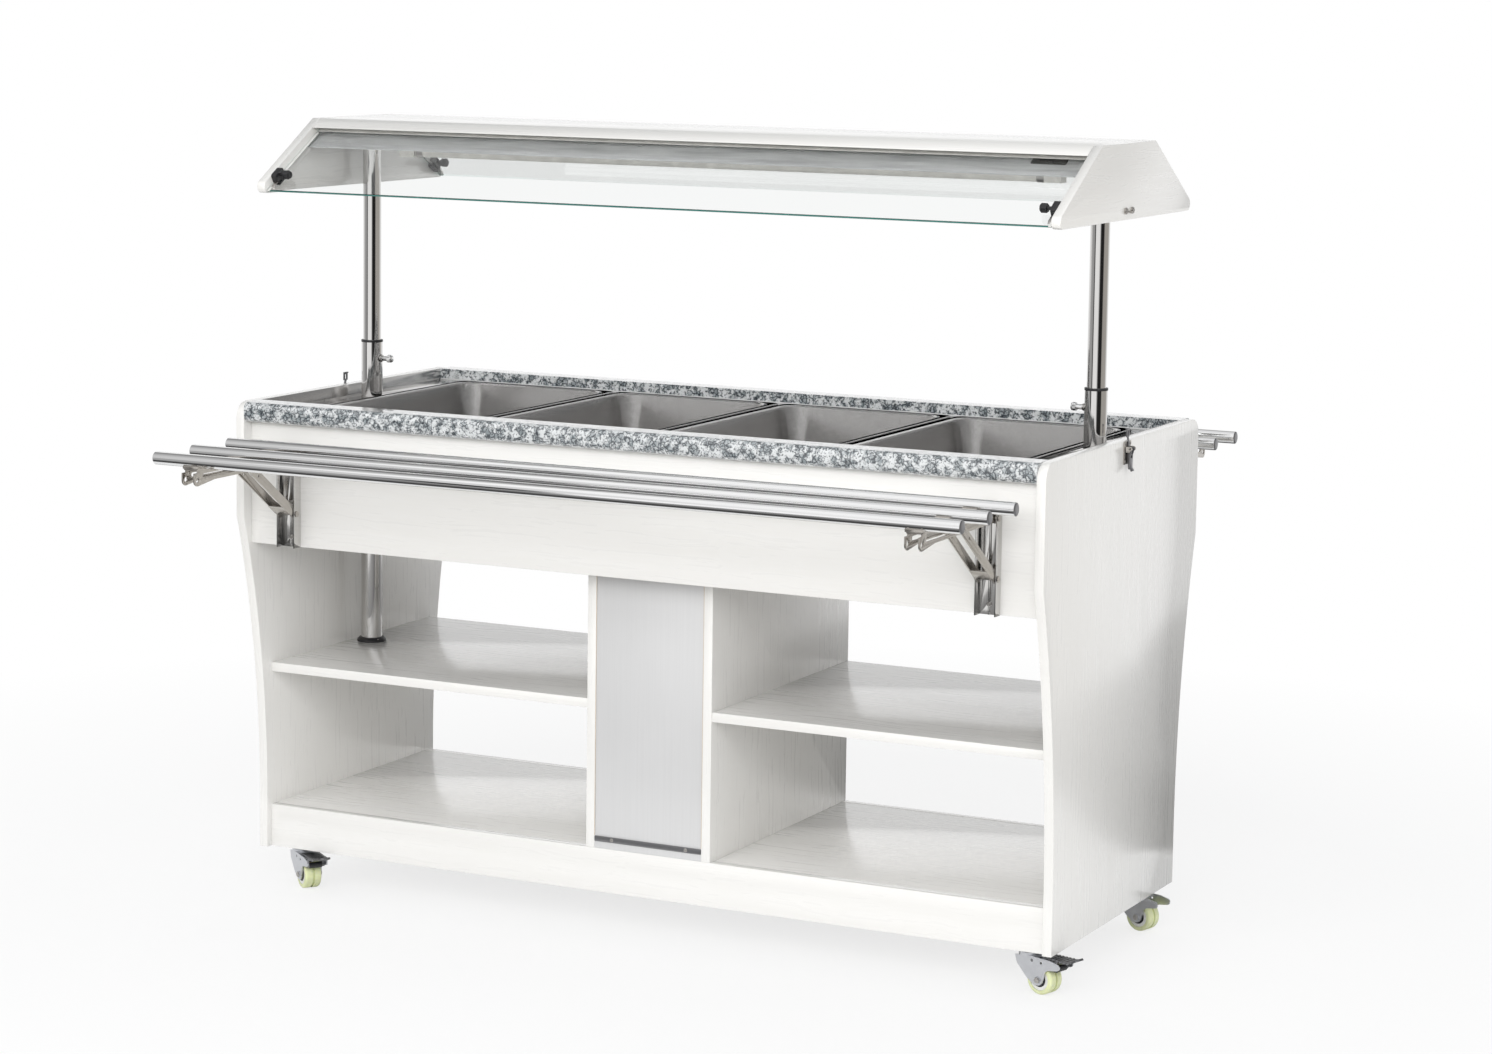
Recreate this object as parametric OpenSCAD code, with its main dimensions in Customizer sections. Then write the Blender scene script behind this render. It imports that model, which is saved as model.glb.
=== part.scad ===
// Mobile heated buffet display with four gastronorm wells, a lifting glass canopy,
// folding tray slides and swivel casters. Millimetres, +Z up, +X along the length, front towards -Y.
// The origin is on the floor, under the middle of the cabinet.

/* [Cabinet] */
// Length over the outer faces of the end panels
body_l = 1500; // [1500:10:1700]
// Height of the worktop above the floor
top_h = 870; // [850:5:900]
// Gap between the floor and the underside of the cabinet
floor_gap = 73; // [73:1:85]
// Thickness of the laminated boards
board_t = 16; // [15:1:19]
// Distance of the end panels' feet inside their edges at the worktop
foot_inset = 70; // [50:1:74]
// Drop below the worktop at which the end panels start to narrow
waist_drop = 198; // [170:2:230]
// Height below which the end panels are straight again
foot_z = 170; // [150:5:220]
// Radius of the end panels' top corners
corner_r = 28; // [10:1:40]
// Distance of the apron faces behind the end panels' edges
apron_recess = 23; // [20:1:30]
// Distance from the worktop down to the aprons' lower edge
apron_drop = 247; // [230:1:260]
// Height of the plinths
plinth_h = 75; // [60:1:90]
// Distance of the plinths and dividers behind the end panels' feet
plinth_recess = 12; // [8:1:30]
// Height of the mid shelves' upper face
shelf_z = 402; // [350:2:450]
// Distance of the mid shelves' edges behind the end panels' feet
shelf_recess = 14; // [10:1:40]
// Place of the left divider's middle, from the centre
divider_left_x = -91.5; // [-110:0.5:-85]
// Place of the right divider's middle, from the centre
divider_right_x = 127; // [100:1:140]
// Thickness of the service panels
panel_t = 2; // [1.5:0.5:3]

/* [Worktop] */
// Width of the stone rails
stone_w = 52; // [48:1:80]
// Distance from the pans' rims to the stone rails' inner edges
deck_side = 33; // [29:1:37]
// Thickness of the stone rails
stone_t = 34; // [30:1:38]
// Radius of the stone rails' outer nosing
nose_r = 12; // [6:1:14]
// Drop of the steel deck below the stone
deck_drop = 20; // [14:1:24]
// Thickness of the deck and tank sheet
sheet_t = 2; // [1.5:0.5:2.5]
// Gap between a pan's body and the edge of its well
well_gap = 3; // [2:0.5:5]

/* [Pans] */
// Distance from the outer pans' rims to the end panels' outer faces
end_space = 86.5; // [84:0.5:90]
// Gap between the rims of neighbouring pans
pan_gap = 9; // [8:0.5:12]
// Length of a pan over its rim
pan_l = 530; // [520:1:535]
// Depth of a pan below its rim
pan_depth = 100; // [65:5:150]
// Width of a pan's rim
pan_lip = 12.5; // [10:0.5:15]
// Height of a pan's rim above the deck
rim_h = 5; // [3:0.5:8]
// Thickness of a pan's wall
pan_t = 1; // [0.8:0.1:1.5]
// Inward slope of a pan's sides at its floor
pan_taper = 12; // [6:1:20]

/* [Tank and heating] */
// Gap between the pans' sides and the tank liner
tank_gap = 5; // [4:0.5:6]
// Depth of the water space below the pans
water_h = 58; // [40:1:70]
// Thickness of the tank's insulation
insulation_t = 8; // [6:1:9]
// Radius of the heating element
element_r = 4; // [3:0.5:6]
// Distance of the heating element's middle above the tank floor
element_h = 14; // [10:1:20]
// Bore radius of the drain
drain_r = 8; // [6:0.5:10]
// Length of the drain valve below the tank casing
drain_l = 110; // [90:5:140]

/* [Posts] */
// Radius of the fixed outer posts
post_r = 19; // [18:0.5:20]
// Wall of the fixed outer posts
post_wall = 2; // [1.5:0.25:2.5]
// Radius of the sliding inner posts
inner_r = 16; // [15:0.25:16.25]
// Wall of the sliding inner posts
inner_wall = 1.5; // [1.2:0.1:2]
// Distance of the posts' axes inside the end panels' outer faces
post_inset = 55; // [52:1:56]
// Height of the outer posts above the worktop
post_rise = 78; // [70:1:85]
// Height of the lock plungers above the worktop
lock_rise = 49; // [40:1:52]
// Radius of the lock plungers' pins
lock_r = 3; // [2.5:0.5:4]
// Outward travel of the lock plungers
lock_travel = 8; // [4:1:10]

/* [Canopy] */
// Height of the raised canopy's lower edge above the worktop
canopy_rise = 358; // [355:1:430]
// Downward travel of the canopy
canopy_travel = 355; // [200:5:355]
// Distance of the canopy's ends inside the end panels' outer faces
canopy_inset = 7.5; // [5:0.5:10]
// Distance of the canopy's lower edges inside the end panels' edges
canopy_recess = 54; // [40:1:60]
// Depth of the canopy at its top
canopy_top_d = 244; // [220:2:270]
// Height of the canopy
canopy_h = 124; // [120:1:140]
// Height of the canopy's upright front edge
canopy_lip = 18; // [10:1:24]
// Radius of the canopy ends' lower corners
canopy_r = 11; // [4:1:14]
// Thickness of the glass panes
glass_t = 5; // [4:0.5:6]
// Distance of the glass behind the canopy's sloping edge
glass_inset = 15; // [12:1:20]
// Height of the glass panes' lower edge above the canopy's
glass_lift = 3; // [1:1:8]
// Gap between the glass and the lamp housing's fascia
fascia_gap = 3.3; // [2:0.1:8]
// Height of the lamp housing's underside above the canopy's lower edge
housing_z = 72; // [70:1:80]
// Radius of the lamp
lamp_r = 8; // [6:0.5:10]
// Distance of the lamp's ends inside the end panels' outer faces
lamp_inset = 150; // [150:5:300]

/* [Tray slides] */
// Radius of the tray tubes
tube_r = 11; // [9:0.5:12]
// Wall of the tray tubes
tube_wall = 1.2; // [1:0.1:2]
// Distance of the tray tubes' ends inside the end panels' outer faces
tube_inset = 25; // [5:1:60]
// Distance of the first tube's axis in front of the apron
tube_first = 81; // [75:1:90]
// Spacing of the tray tubes
tube_pitch = 105.5; // [95:0.5:107]
// Drop of the tray tubes' axes below the worktop
tube_drop = 65; // [55:1:70]
// Distance of the brackets' middles inside the end panels' outer faces
bracket_inset = 99; // [90:1:190]
// Outer width of the wall channels
channel_w = 36; // [34:1:40]
// Depth of the wall channels
channel_d = 20; // [18:1:24]
// Thickness of the channels, arms and braces
plate_t = 2; // [1.5:0.25:2.5]
// Distance of the fold pin in front of the apron
fold_out = 14; // [13:0.5:16]
// Drop of the fold pin below the tray tubes' axes
fold_drop = 27; // [26:0.5:30]
// Distance of the braces' lower pin below the fold pin
brace_drop = 96; // [85:1:105]
// Distance of the braces' upper end from the fold pin, tray open
brace_out = 137; // [125:1:145]
// Width of the brace bars
brace_w = 16; // [12:1:18]
// Radius of the pivot pins
pin_r = 3; // [2.5:0.25:3.5]

/* [Casters] */
// Diameter of the wheels
wheel_d = 50; // [44:1:52]
// Width of the wheels
wheel_w = 30; // [24:1:32]
// Distance of the axle behind the swivel axis
caster_trail = 28; // [24:1:32]
// Distance of the swivel axes inside the end panels' outer faces
caster_inset = 56; // [50:1:90]
// Distance of the swivel axes behind the end panels' feet
caster_back = 55; // [54:1:90]
// Width of the casters' top plates
caster_plate_w = 60; // [50:1:66]
// Radius of the axles
axle_r = 4; // [3:0.5:5]
// Angles at which the four casters stand: front left, front right, back left, back right
caster_turn = [-37, -16, -25, -16];

/* [Fits] */
// Radial gap between a pin and its bore
pin_gap = 0.06; // [0.03:0.01:0.1]
// Gap between pieces that move past each other
run_gap = 0.3; // [0.2:0.05:0.5]

/* [Hidden] */
$fn = 48;
smooth_fn = 28;
eps = 0.01;

laminate = "ivory";
stone = "lightslategray";
steel = "silver";
satin = "darkgray";
black = "dimgray";
nylon = "palegoldenrod";
clear = "lightcyan";

// Cabinet
end_in = body_l / 2 - board_t;
body_d = pan_l + 2 * (deck_side + stone_w);
foot_d = body_d - 2 * foot_inset;
face_y = body_d / 2 - apron_recess;
waist_z = top_h - waist_drop;
apron_z = top_h - apron_drop;
foot_y = foot_d / 2;
plinth_y = foot_y - plinth_recess;
shelf_y = foot_y - shelf_recess;
floor_z = floor_gap + plinth_h;
waist_rise = waist_z - foot_z;
waist_r = (pow(waist_rise, 2) + pow(foot_inset, 2)) / (2 * foot_inset);
waist_turn = asin(waist_rise / waist_r);
duct_left = divider_left_x + board_t / 2;
duct_right = divider_right_x - board_t / 2;
duct_mid = (duct_left + duct_right) / 2;
panel_gap = 1;

// Worktop and pans
stone_in = pan_l / 2 + deck_side;
pan_w = (body_l - 2 * end_space - 3 * pan_gap) / 4;
pan_pitch = pan_w + pan_gap;
deck_z = top_h - deck_drop;
deck_flange = 12;
rim_z = deck_z + rim_h;
pan_body_w = pan_w - 2 * pan_lip;
pan_body_l = pan_l - 2 * pan_lip;
pan_corner = 42;
pan_floor_r = 20;
rim_corner = 14;
well_corner = pan_corner + well_gap;
post_x = body_l / 2 - post_inset;

// Tank
tank_x = 1.5 * pan_pitch + pan_body_w / 2 + tank_gap;
tank_y = pan_body_l / 2 + tank_gap;
tank_z = rim_z - pan_depth - pan_t - water_h;
casing_x = tank_x + sheet_t + insulation_t;
casing_y = tank_y + sheet_t + insulation_t;
casing_z = tank_z - sheet_t - insulation_t;
casing_foot_z = casing_z - sheet_t;
element_bend = 120;
element_start = 60;
drain_y = 60;
drain_wall = 2;
drain_z = casing_foot_z - drain_l;

// Posts
post_top = top_h + post_rise;
lock_z = top_h + lock_rise;
bush_r = inner_r + pin_gap;
bush_flange = 0.5;
bush_t = 4;
bush_l = 20;
shelf_flange_w = 7;
shelf_flange_t = 8;
post_overlap = 70;
lock_boss_l = 4;
lock_boss_r = lock_r + 2.5;
lock_head_r = lock_r + 3.5;
lock_head_l = 8;
lock_reach = lock_boss_l + lock_travel + lock_head_l + 2;
lock_tip_gap = 0.4;

// Canopy
canopy_l = body_l - 2 * canopy_inset;
canopy_d = body_d - 2 * canopy_recess;
canopy_z = top_h + canopy_rise;
canopy_in = canopy_l / 2 - board_t;
canopy_top = canopy_z + canopy_h;
canopy_foot = canopy_d / 2;
slope_run = (canopy_d - canopy_top_d) / 2;
slope_rise = canopy_h - canopy_lip;
slope_a = atan2(slope_rise, slope_run);
slope_l = norm([slope_run, slope_rise]);
board_z = canopy_top - board_t;
glass_z = canopy_z + glass_lift;
glass_end_gap = 2;
fascia_in = glass_inset + glass_t + fascia_gap;
fascia_t = 1.5;
house_z = canopy_z + housing_z;
lamp_l = body_l - 2 * lamp_inset;
post_hole_r = post_r + 5;
post_cap_r = 27;
post_cap_t = 4;
holder_w = 12;
holder_l = 30;
holder_drop = 3;

// Glass clamps
clamp_t = 10;
clamp_l = 26;
clamp_s = 22;
clamp_in = 4;
clamp_out = 16;
clamp_axis = 9;
clamp_slot = 0.3;
knob_r = 8;
knob_l = 10;
knob_off = 9;
knob_stem_r = 3;
knob_lobes = 5;

// Latches, measured outwards from an end panel's outer face
latch_t = 2;
latch_w = 30;
latch_foot_z = top_h - 39;
latch_h = 37;
lever_out = 9;
lever_z = top_h - 14;
hook_pin_out = 6;
hook_pin_z = top_h - 24;
latch_pin_r = 1.5;
latch_eye_r = 3.2;
lever_in = 4;
lever_t = 2;
ear_in = lever_in + lever_t + 1;
ear_t = 2;
handle_z = top_h - 50;
handle_top_z = hook_pin_z - 5;
handle_out = 7;
hook_w = 5;
hook_head_w = 12;
hook_t = 2;
hook_slot_r = 2.5;
hook_slot_l = 5;
keeper_lip_z = 12;
keeper_lip_out = 6;
keeper_pitch = 29;
keeper_head_r = 5.5;
keeper_head_t = 2.5;
keeper_head_z = 15;
hook_top_z = canopy_z - canopy_travel + keeper_lip_z + latch_t + 0.6;
hook_reach = keeper_lip_out - canopy_inset + 0.5;

// Tray slides, measured outwards from an apron's face
tube_l = body_l - 2 * tube_inset;
tube_z = top_h - tube_drop;
bracket_x = body_l / 2 - bracket_inset;
tube_outs = [for (i = [0:2]) tube_first + i * tube_pitch];
fold_z = tube_z - fold_drop;
arm_top = fold_drop - tube_r - plate_t;
arm_end = tube_outs[2] - fold_out + 16;
arm_w = channel_w - 4 * plate_t - 3;
arm_low = 6.5;
arm_deep = 14;
arm_eye_r = 8.5;
arm_nose_r = 10;
arm_slot_b = 2;
arm_slot_r = 3.4;
arm_taper_from = arm_end - 60;
arm_taper_to = arm_end - 12;
arm_web_start = 6;
arm_web_l = arm_end - 13;
arm_nose_hole_r = 4;
saddle_w = 30;
saddle_l = 18;
saddle_t = 3;
brace_x = channel_w / 2 - plate_t - 0.5;
low_pin = [fold_out - 1, fold_z - brace_drop];
high_pin = [fold_out + brace_out, fold_z + arm_slot_b];
brace_l = norm(high_pin - low_pin);
brace_a = atan2(high_pin[1] - low_pin[1], high_pin[0] - low_pin[0]);
slot_end = brace_drop + sqrt(pow(brace_l, 2) - pow(fold_out + arm_slot_b - low_pin[0], 2));
channel_top = fold_z + 17;
channel_rib_r = 2;
channel_screw_r = 2.5;
channel_screw_z = [fold_z - 138, fold_z - 78];
rivet_r = pin_r + 2;
rivet_t = 1.7;
plug_l = 8;

// Casters
wheel_r = wheel_d / 2;
caster_y = foot_y - caster_back;
caster_plate_t = 3;
race_r = 17;
race_t = 4;
kingpin_r = 6;
crown_r = 20;
crown_t = 6.5;
crown_z = floor_gap - caster_plate_t - race_t - run_gap - crown_t;
rivet_head_r = 9;
cheek_in = wheel_w / 2 + 1.5;
cheek_t = 2.5;
axle_head_r = 6;
axle_head_t = 1.5;
groove_w = 4;
groove_d = 3;
tread_r = 4;
hub_r = 13;
cheek_hole_r = 2;
hub_recess = 1.5;
pedal_t = 4;
pedal_rise = 6.3;
pedal_pin = [16, crown_z - run_gap - 3.7];
pedal_pin_r = 2.5;
pedal_l = 93;
pedal_level = [36, 84];
pedal_teeth = 8;
pedal_tooth = 2.5;
pedal_notch_r = 6;
shoe_bar = [60, 47];
shoe_bar_r = 3.5;
plate_hole_r = 3.2;
plate_hole_in = 8;
caster_at = [
    [-body_l / 2 + caster_inset, -caster_y], [body_l / 2 - caster_inset, -caster_y],
    [-body_l / 2 + caster_inset, caster_y], [body_l / 2 - caster_inset, caster_y]
];

// Controls on the rear service panel
control_z = 520;
control_pitch = 44;
spindle_r = 3;
dial_r = 20;
dial_t = 17;
dial_skirt_t = 3;
dial_skirt_r = dial_r + 3;
rocker_w = 14;
rocker_h = 20;
rocker_gap = 0.4;
rocker_t = 8;
rocker_pin_r = 1.2;
bezel_w = 3;
bezel_t = 1.5;
socket_d = 22;
gland_z = 220;
gland_r = 9;
gland_hex_r = 13;
gland_l = 24;
gland_bore_r = 4;

// Block between two opposite corners
module block(lo, hi) {
    translate(lo) cube(hi - lo);
}

// Flat outline in Y and Z, drawn out along X
module along_x(from, to) {
    translate([from, 0, 0]) rotate([90, 0, 90]) linear_extrude(to - from) children();
}

// Rod along X
module rod_x(r, from, to, y, z) {
    translate([from, y, z]) rotate([0, 90, 0]) cylinder(r = r, h = to - from);
}

// Rod along Y
module rod_y(r, from, to, x, z) {
    translate([x, to, z]) rotate([90, 0, 0]) cylinder(r = r, h = to - from);
}

// Upright tube
module tube_z(r_out, r_in, from, to) {
    translate([0, 0, from]) difference() {
        cylinder(r = r_out, h = to - from);
        translate([0, 0, -1]) cylinder(r = r_in, h = to - from + 2);
    }
}

// Rectangle about the origin with round corners
module round_rect(w, l, r) {
    square([w - 2 * r, l], center = true);
    square([w, l - 2 * r], center = true);
    for (x = [-1, 1], y = [-1, 1]) translate([x * (w / 2 - r), y * (l / 2 - r)]) circle(r);
}

// The children and their mirror image across the length
module both_ends() {
    children();
    mirror([1, 0, 0]) children();
}

// The children at the front and turned round to the back
module front_and_back() {
    children();
    rotate(180) children();
}

// The children at the front or the back
module facing(back) {
    rotate(back ? 180 : 0) children();
}

// Half outline of an end panel, from the floor up, with the waist as one arc
function end_edge(steps = 24) = concat(
    [[foot_y, floor_gap]],
    [for (i = [0:steps]) let (a = waist_turn * i / steps)
        [foot_y + waist_r * (1 - cos(a)), foot_z + waist_r * sin(a)]],
    [for (a = [0:15:90])
        [body_d / 2 - corner_r * (1 - cos(a)), top_h - corner_r * (1 - sin(a))]]
);

function flip(points) = [for (i = [len(points) - 1:-1:0]) [-points[i][0], points[i][1]]];

module end_panel() {
    color(laminate) along_x(end_in, body_l / 2) polygon(concat(end_edge(), flip(end_edge())));
}

module end_panel_left() { mirror([1, 0, 0]) end_panel(); }

module end_panel_right() { end_panel(); }

module aprons() {
    color(laminate) front_and_back()
        block([-end_in, -face_y, apron_z], [end_in, -face_y + board_t, top_h - stone_t]);
}

module plinths() {
    color(laminate) front_and_back()
        block([-end_in, -plinth_y, floor_gap], [end_in, -plinth_y + board_t, floor_z]);
}

// The base board that carries the casters, and the floors of the two bays and of the duct
module floor_boards() {
    inner = plinth_y - board_t;
    color(laminate) {
        block([-end_in, -inner, floor_gap], [end_in, inner, floor_gap + board_t]);
        block([-end_in, -inner, floor_z - board_t], [duct_left - board_t, inner, floor_z]);
        block([duct_left, -inner, floor_z - board_t], [duct_right, inner, floor_z]);
        block([duct_right + board_t, -inner, floor_z - board_t], [end_in, inner, floor_z]);
    }
}

// Dividers from the base board, between the plinths, up to the tank's casing
module dividers() {
    inner = plinth_y - board_t;
    color(laminate) for (x = [duct_left - board_t, duct_right]) {
        block([x, -plinth_y, floor_z], [x + board_t, plinth_y, casing_foot_z]);
        block([x, -inner, floor_gap + board_t], [x + board_t, inner, floor_z + 1]);
    }
}

module mid_shelves() {
    color(laminate) {
        block([-end_in, -shelf_y, shelf_z - board_t], [duct_left - board_t, shelf_y, shelf_z]);
        block([duct_right + board_t, -shelf_y, shelf_z - board_t], [end_in, shelf_y, shelf_z]);
    }
}

// Front panel bare, back panel with the thermostat, the switch frame and the gland hole
module service_panels() {
    outer = plinth_y - panel_gap;
    color(steel) {
        block([duct_left, -outer, floor_z], [duct_right, -outer + panel_t, casing_foot_z]);
        difference() {
            block([duct_left, outer - panel_t, floor_z], [duct_right, outer, casing_foot_z]);
            rod_y(spindle_r + pin_gap, outer - panel_t - 1, outer + 1,
                duct_mid + control_pitch / 2, control_z);
            switch_cut(outer - panel_t - 1, outer + 1, bezel_w / 2);
            rod_y(gland_r, outer - panel_t - 1, outer + 1, duct_mid, gland_z);
        }
    }
    color(black) {
        difference() {
            block([duct_mid + control_pitch / 2 - dial_r, outer - panel_t - socket_d, control_z - dial_r],
                [duct_mid + control_pitch / 2 + dial_r, outer - panel_t, control_z + dial_r]);
            rod_y(spindle_r + pin_gap, outer - panel_t - socket_d / 2, outer,
                duct_mid + control_pitch / 2, control_z);
        }
        switch_frame(outer);
    }
}

module switch_cut(from, to, grow) {
    translate([duct_mid - control_pitch / 2, 0, control_z])
        block([-rocker_w / 2 - rocker_gap - grow, from, -rocker_h / 2 - rocker_gap - grow],
            [rocker_w / 2 + rocker_gap + grow, to, rocker_h / 2 + rocker_gap + grow]);
}

// Frame of the switch with the pin that its rocker tips on
module switch_frame(outer) {
    difference() {
        union() {
            switch_cut(outer, outer + bezel_t, bezel_w);
            switch_cut(outer - panel_t - socket_d, outer + bezel_t, bezel_w / 2);
        }
        switch_cut(outer - panel_t - socket_d / 2, outer + bezel_t + 1, 0);
    }
    reach = rocker_w / 2 + rocker_gap + bezel_w / 4;
    rod_x(rocker_pin_r, duct_mid - control_pitch / 2 - reach, duct_mid - control_pitch / 2 + reach,
        outer, control_z);
}

// Rail of stone with a round nose along its outer edge
module stone_rail() {
    outer = body_d / 2;
    along_x(-end_in, end_in) {
        translate([-outer + nose_r, top_h - stone_t]) square([stone_w - nose_r, stone_t]);
        translate([-outer, top_h - stone_t + nose_r]) square([nose_r, stone_t - 2 * nose_r]);
        for (z = [top_h - stone_t + nose_r, top_h - nose_r])
            translate([-outer + nose_r, z]) circle(nose_r);
    }
}

module stone_rails() {
    color(stone) front_and_back() stone_rail();
}

function pan_x(i) = (i - 1.5) * pan_pitch;

// Steel deck with a well for each pan, holes for the posts, turned-down sides and end upstands
module well_deck() {
    color(steel) difference() {
        union() {
            block([-end_in, -stone_in, deck_z - sheet_t], [end_in, stone_in, deck_z]);
            for (y = [-stone_in, stone_in - sheet_t])
                block([-end_in, y, deck_z - deck_flange], [end_in, y + sheet_t, deck_z]);
            for (x = [-end_in, end_in - sheet_t])
                block([x, -stone_in, deck_z - sheet_t], [x + sheet_t, stone_in, top_h]);
        }
        for (i = [0:3]) translate([pan_x(i), 0, deck_z - sheet_t - 1])
            linear_extrude(sheet_t + 2)
                round_rect(pan_body_w + 2 * well_gap, pan_body_l + 2 * well_gap, well_corner);
        both_ends() translate([post_x, 0, deck_z - sheet_t - 1])
            cylinder(r = post_r + run_gap, h = sheet_t + 2);
    }
}

// Basin that narrows to a floor with round edges, for the inside and the outside of a pan
module basin(grow) {
    top_r = pan_corner + grow;
    low_r = pan_floor_r + grow;
    hull() for (x = [-1, 1], y = [-1, 1]) {
        translate([x * (pan_body_w / 2 - pan_corner), y * (pan_body_l / 2 - pan_corner), 0])
            cylinder(r = top_r, h = 1, $fn = smooth_fn);
        translate([x * (pan_body_w / 2 - pan_taper - pan_floor_r),
            y * (pan_body_l / 2 - pan_taper - pan_floor_r), pan_floor_r - pan_depth])
            sphere(r = low_r, $fn = smooth_fn);
    }
}

module gn_pan(i) {
    rim_drop = rim_h - run_gap;
    color(steel) translate([pan_x(i), 0, rim_z]) difference() {
        union() {
            translate([0, 0, -rim_drop]) linear_extrude(rim_drop) round_rect(pan_w, pan_l, rim_corner);
            translate([0, 0, -1]) basin(0);
        }
        translate([0, 0, -rim_drop - 1]) linear_extrude(rim_drop + 1 - pan_t) difference() {
            round_rect(pan_w - 2 * pan_t, pan_l - 2 * pan_t, rim_corner - pan_t);
            round_rect(pan_body_w, pan_body_l, pan_corner);
        }
        translate([0, 0, -1 + eps]) basin(-pan_t);
        translate([0, 0, -eps]) linear_extrude(1)
            round_rect(pan_body_w - 2 * pan_t, pan_body_l - 2 * pan_t, pan_corner - pan_t);
    }
}

module gn_pan_1() { gn_pan(0); }

module gn_pan_2() { gn_pan(1); }

module gn_pan_3() { gn_pan(2); }

module gn_pan_4() { gn_pan(3); }

// Open trough with walls of sheet
module trough(x, y, floor, top) {
    difference() {
        block([-x - sheet_t, -y - sheet_t, floor - sheet_t], [x + sheet_t, y + sheet_t, top]);
        block([-x, -y, floor], [x, y, top + 1]);
    }
}

// Liner that holds the water, hung from the deck by its flange, and the casing round its insulation
module water_tank() {
    flange_z = deck_z - sheet_t;
    color(steel) {
        difference() {
            union() {
                trough(tank_x, tank_y, tank_z, flange_z);
                translate([0, 0, flange_z - sheet_t]) linear_extrude(sheet_t) difference() {
                    square([2 * (casing_x + sheet_t), 2 * (casing_y + sheet_t)], center = true);
                    square([2 * tank_x, 2 * tank_y], center = true);
                }
            }
            translate([duct_mid, drain_y, tank_z - sheet_t - 1]) cylinder(r = drain_r, h = sheet_t + 2);
        }
        difference() {
            trough(casing_x, casing_y, casing_z, flange_z - sheet_t - run_gap);
            translate([duct_mid, drain_y, casing_foot_z - 1])
                cylinder(r = drain_r + drain_wall + run_gap, h = sheet_t + 2);
        }
    }
}

// Two long loops of heater tube on clips, with their ends in terminal glands near the middle
module heating_element() {
    reach = tank_x - element_bend - 30;
    z = tank_z + element_h;
    color(black) both_ends() {
        for (y = [-element_bend, element_bend]) {
            rod_x(element_r, element_start, reach, y, z);
            translate([element_start, y, tank_z]) cylinder(r = element_r + 6, h = element_h + element_r + 2);
            for (x = [0.35, 0.75]) translate([x * reach, y, tank_z])
                cylinder(r = element_r / 2, h = element_h);
        }
        translate([reach, 0, z]) rotate(-90) rotate_extrude(angle = 180)
            translate([element_bend, 0]) circle(element_r);
    }
}

// Drain pipe from the tank floor with a ball housing and a stem boss towards the back
module drain_valve() {
    ball_z = (casing_foot_z + drain_z) / 2;
    ball_r = drain_r + 9;
    color("goldenrod") translate([duct_mid, drain_y, 0]) difference() {
        union() {
            translate([0, 0, drain_z]) cylinder(r = drain_r + drain_wall, h = tank_z - sheet_t - drain_z);
            translate([0, 0, tank_z - 2 * sheet_t]) cylinder(r = drain_r + 8, h = sheet_t);
            translate([0, 0, ball_z - ball_r]) cylinder(r = ball_r, h = 2 * ball_r);
            rod_y(7, 0, ball_r + 5, 0, ball_z);
        }
        translate([0, 0, drain_z - 1]) cylinder(r = drain_r, h = tank_z - drain_z + 1);
        rod_y(4 + pin_gap, drain_r + 1, ball_r + 6, 0, ball_z);
    }
}

// Lever that hangs in line with the drain while it is open
module drain_handle() {
    ball_z = (casing_foot_z + drain_z) / 2;
    seat = drain_r + 9 + 5 + run_gap;
    color("firebrick") translate([duct_mid, drain_y, ball_z]) {
        rod_y(4, drain_r + 2, seat, 0, 0);
        rod_y(9, seat, seat + 4, 0, 0);
        translate([0, seat + 4, 0]) rotate([90, 0, 0]) linear_extrude(4) {
            translate([-6, -62]) square([12, 62]);
            translate([0, -62]) circle(6);
        }
    }
}

module thermostat_knob() {
    outer = plinth_y - panel_gap + run_gap;
    color(black) translate([duct_mid + control_pitch / 2, 0, control_z]) {
        rod_y(spindle_r, outer - panel_t - socket_d / 2 + 1, outer + 1, 0, 0);
        rod_y(dial_skirt_r, outer, outer + dial_skirt_t, 0, 0);
        rod_y(dial_r - 4, outer, outer + dial_t, 0, 0);
        block([-3, outer + dial_skirt_t, 0], [3, outer + dial_t + 1.5, dial_r]);
    }
}

module power_switch() {
    outer = plinth_y - panel_gap;
    color("firebrick") translate([duct_mid - control_pitch / 2, outer, control_z])
        rotate([90, 0, 90]) translate([0, 0, -rocker_w / 2]) linear_extrude(rocker_w) difference() {
            polygon([[-rocker_t, -3], [0, -rocker_h / 2 + 1], [bezel_t - 1, -rocker_h / 2 + 1],
                [bezel_t + 0.5, 0], [bezel_t + 3, rocker_h / 2 - 1], [0, rocker_h / 2 - 1],
                [-rocker_t, 3]]);
            circle(rocker_pin_r + pin_gap);
        }
}

module cable_gland() {
    outer = plinth_y - panel_gap;
    color(black) difference() {
        union() {
            rod_y(gland_r - 0.1, outer - panel_t - 8, outer + 1, duct_mid, gland_z);
            translate([duct_mid, outer + 8, gland_z]) rotate([90, 0, 0])
                cylinder(r = gland_hex_r, h = 8, $fn = 6);
            rod_y(gland_r, outer, outer + gland_l, duct_mid, gland_z);
            translate([duct_mid, outer - panel_t, gland_z]) rotate([90, 0, 0])
                cylinder(r = gland_hex_r, h = 5, $fn = 6);
        }
        rod_y(gland_bore_r, outer - panel_t - 9, outer + gland_l + 1, duct_mid, gland_z);
    }
}

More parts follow.
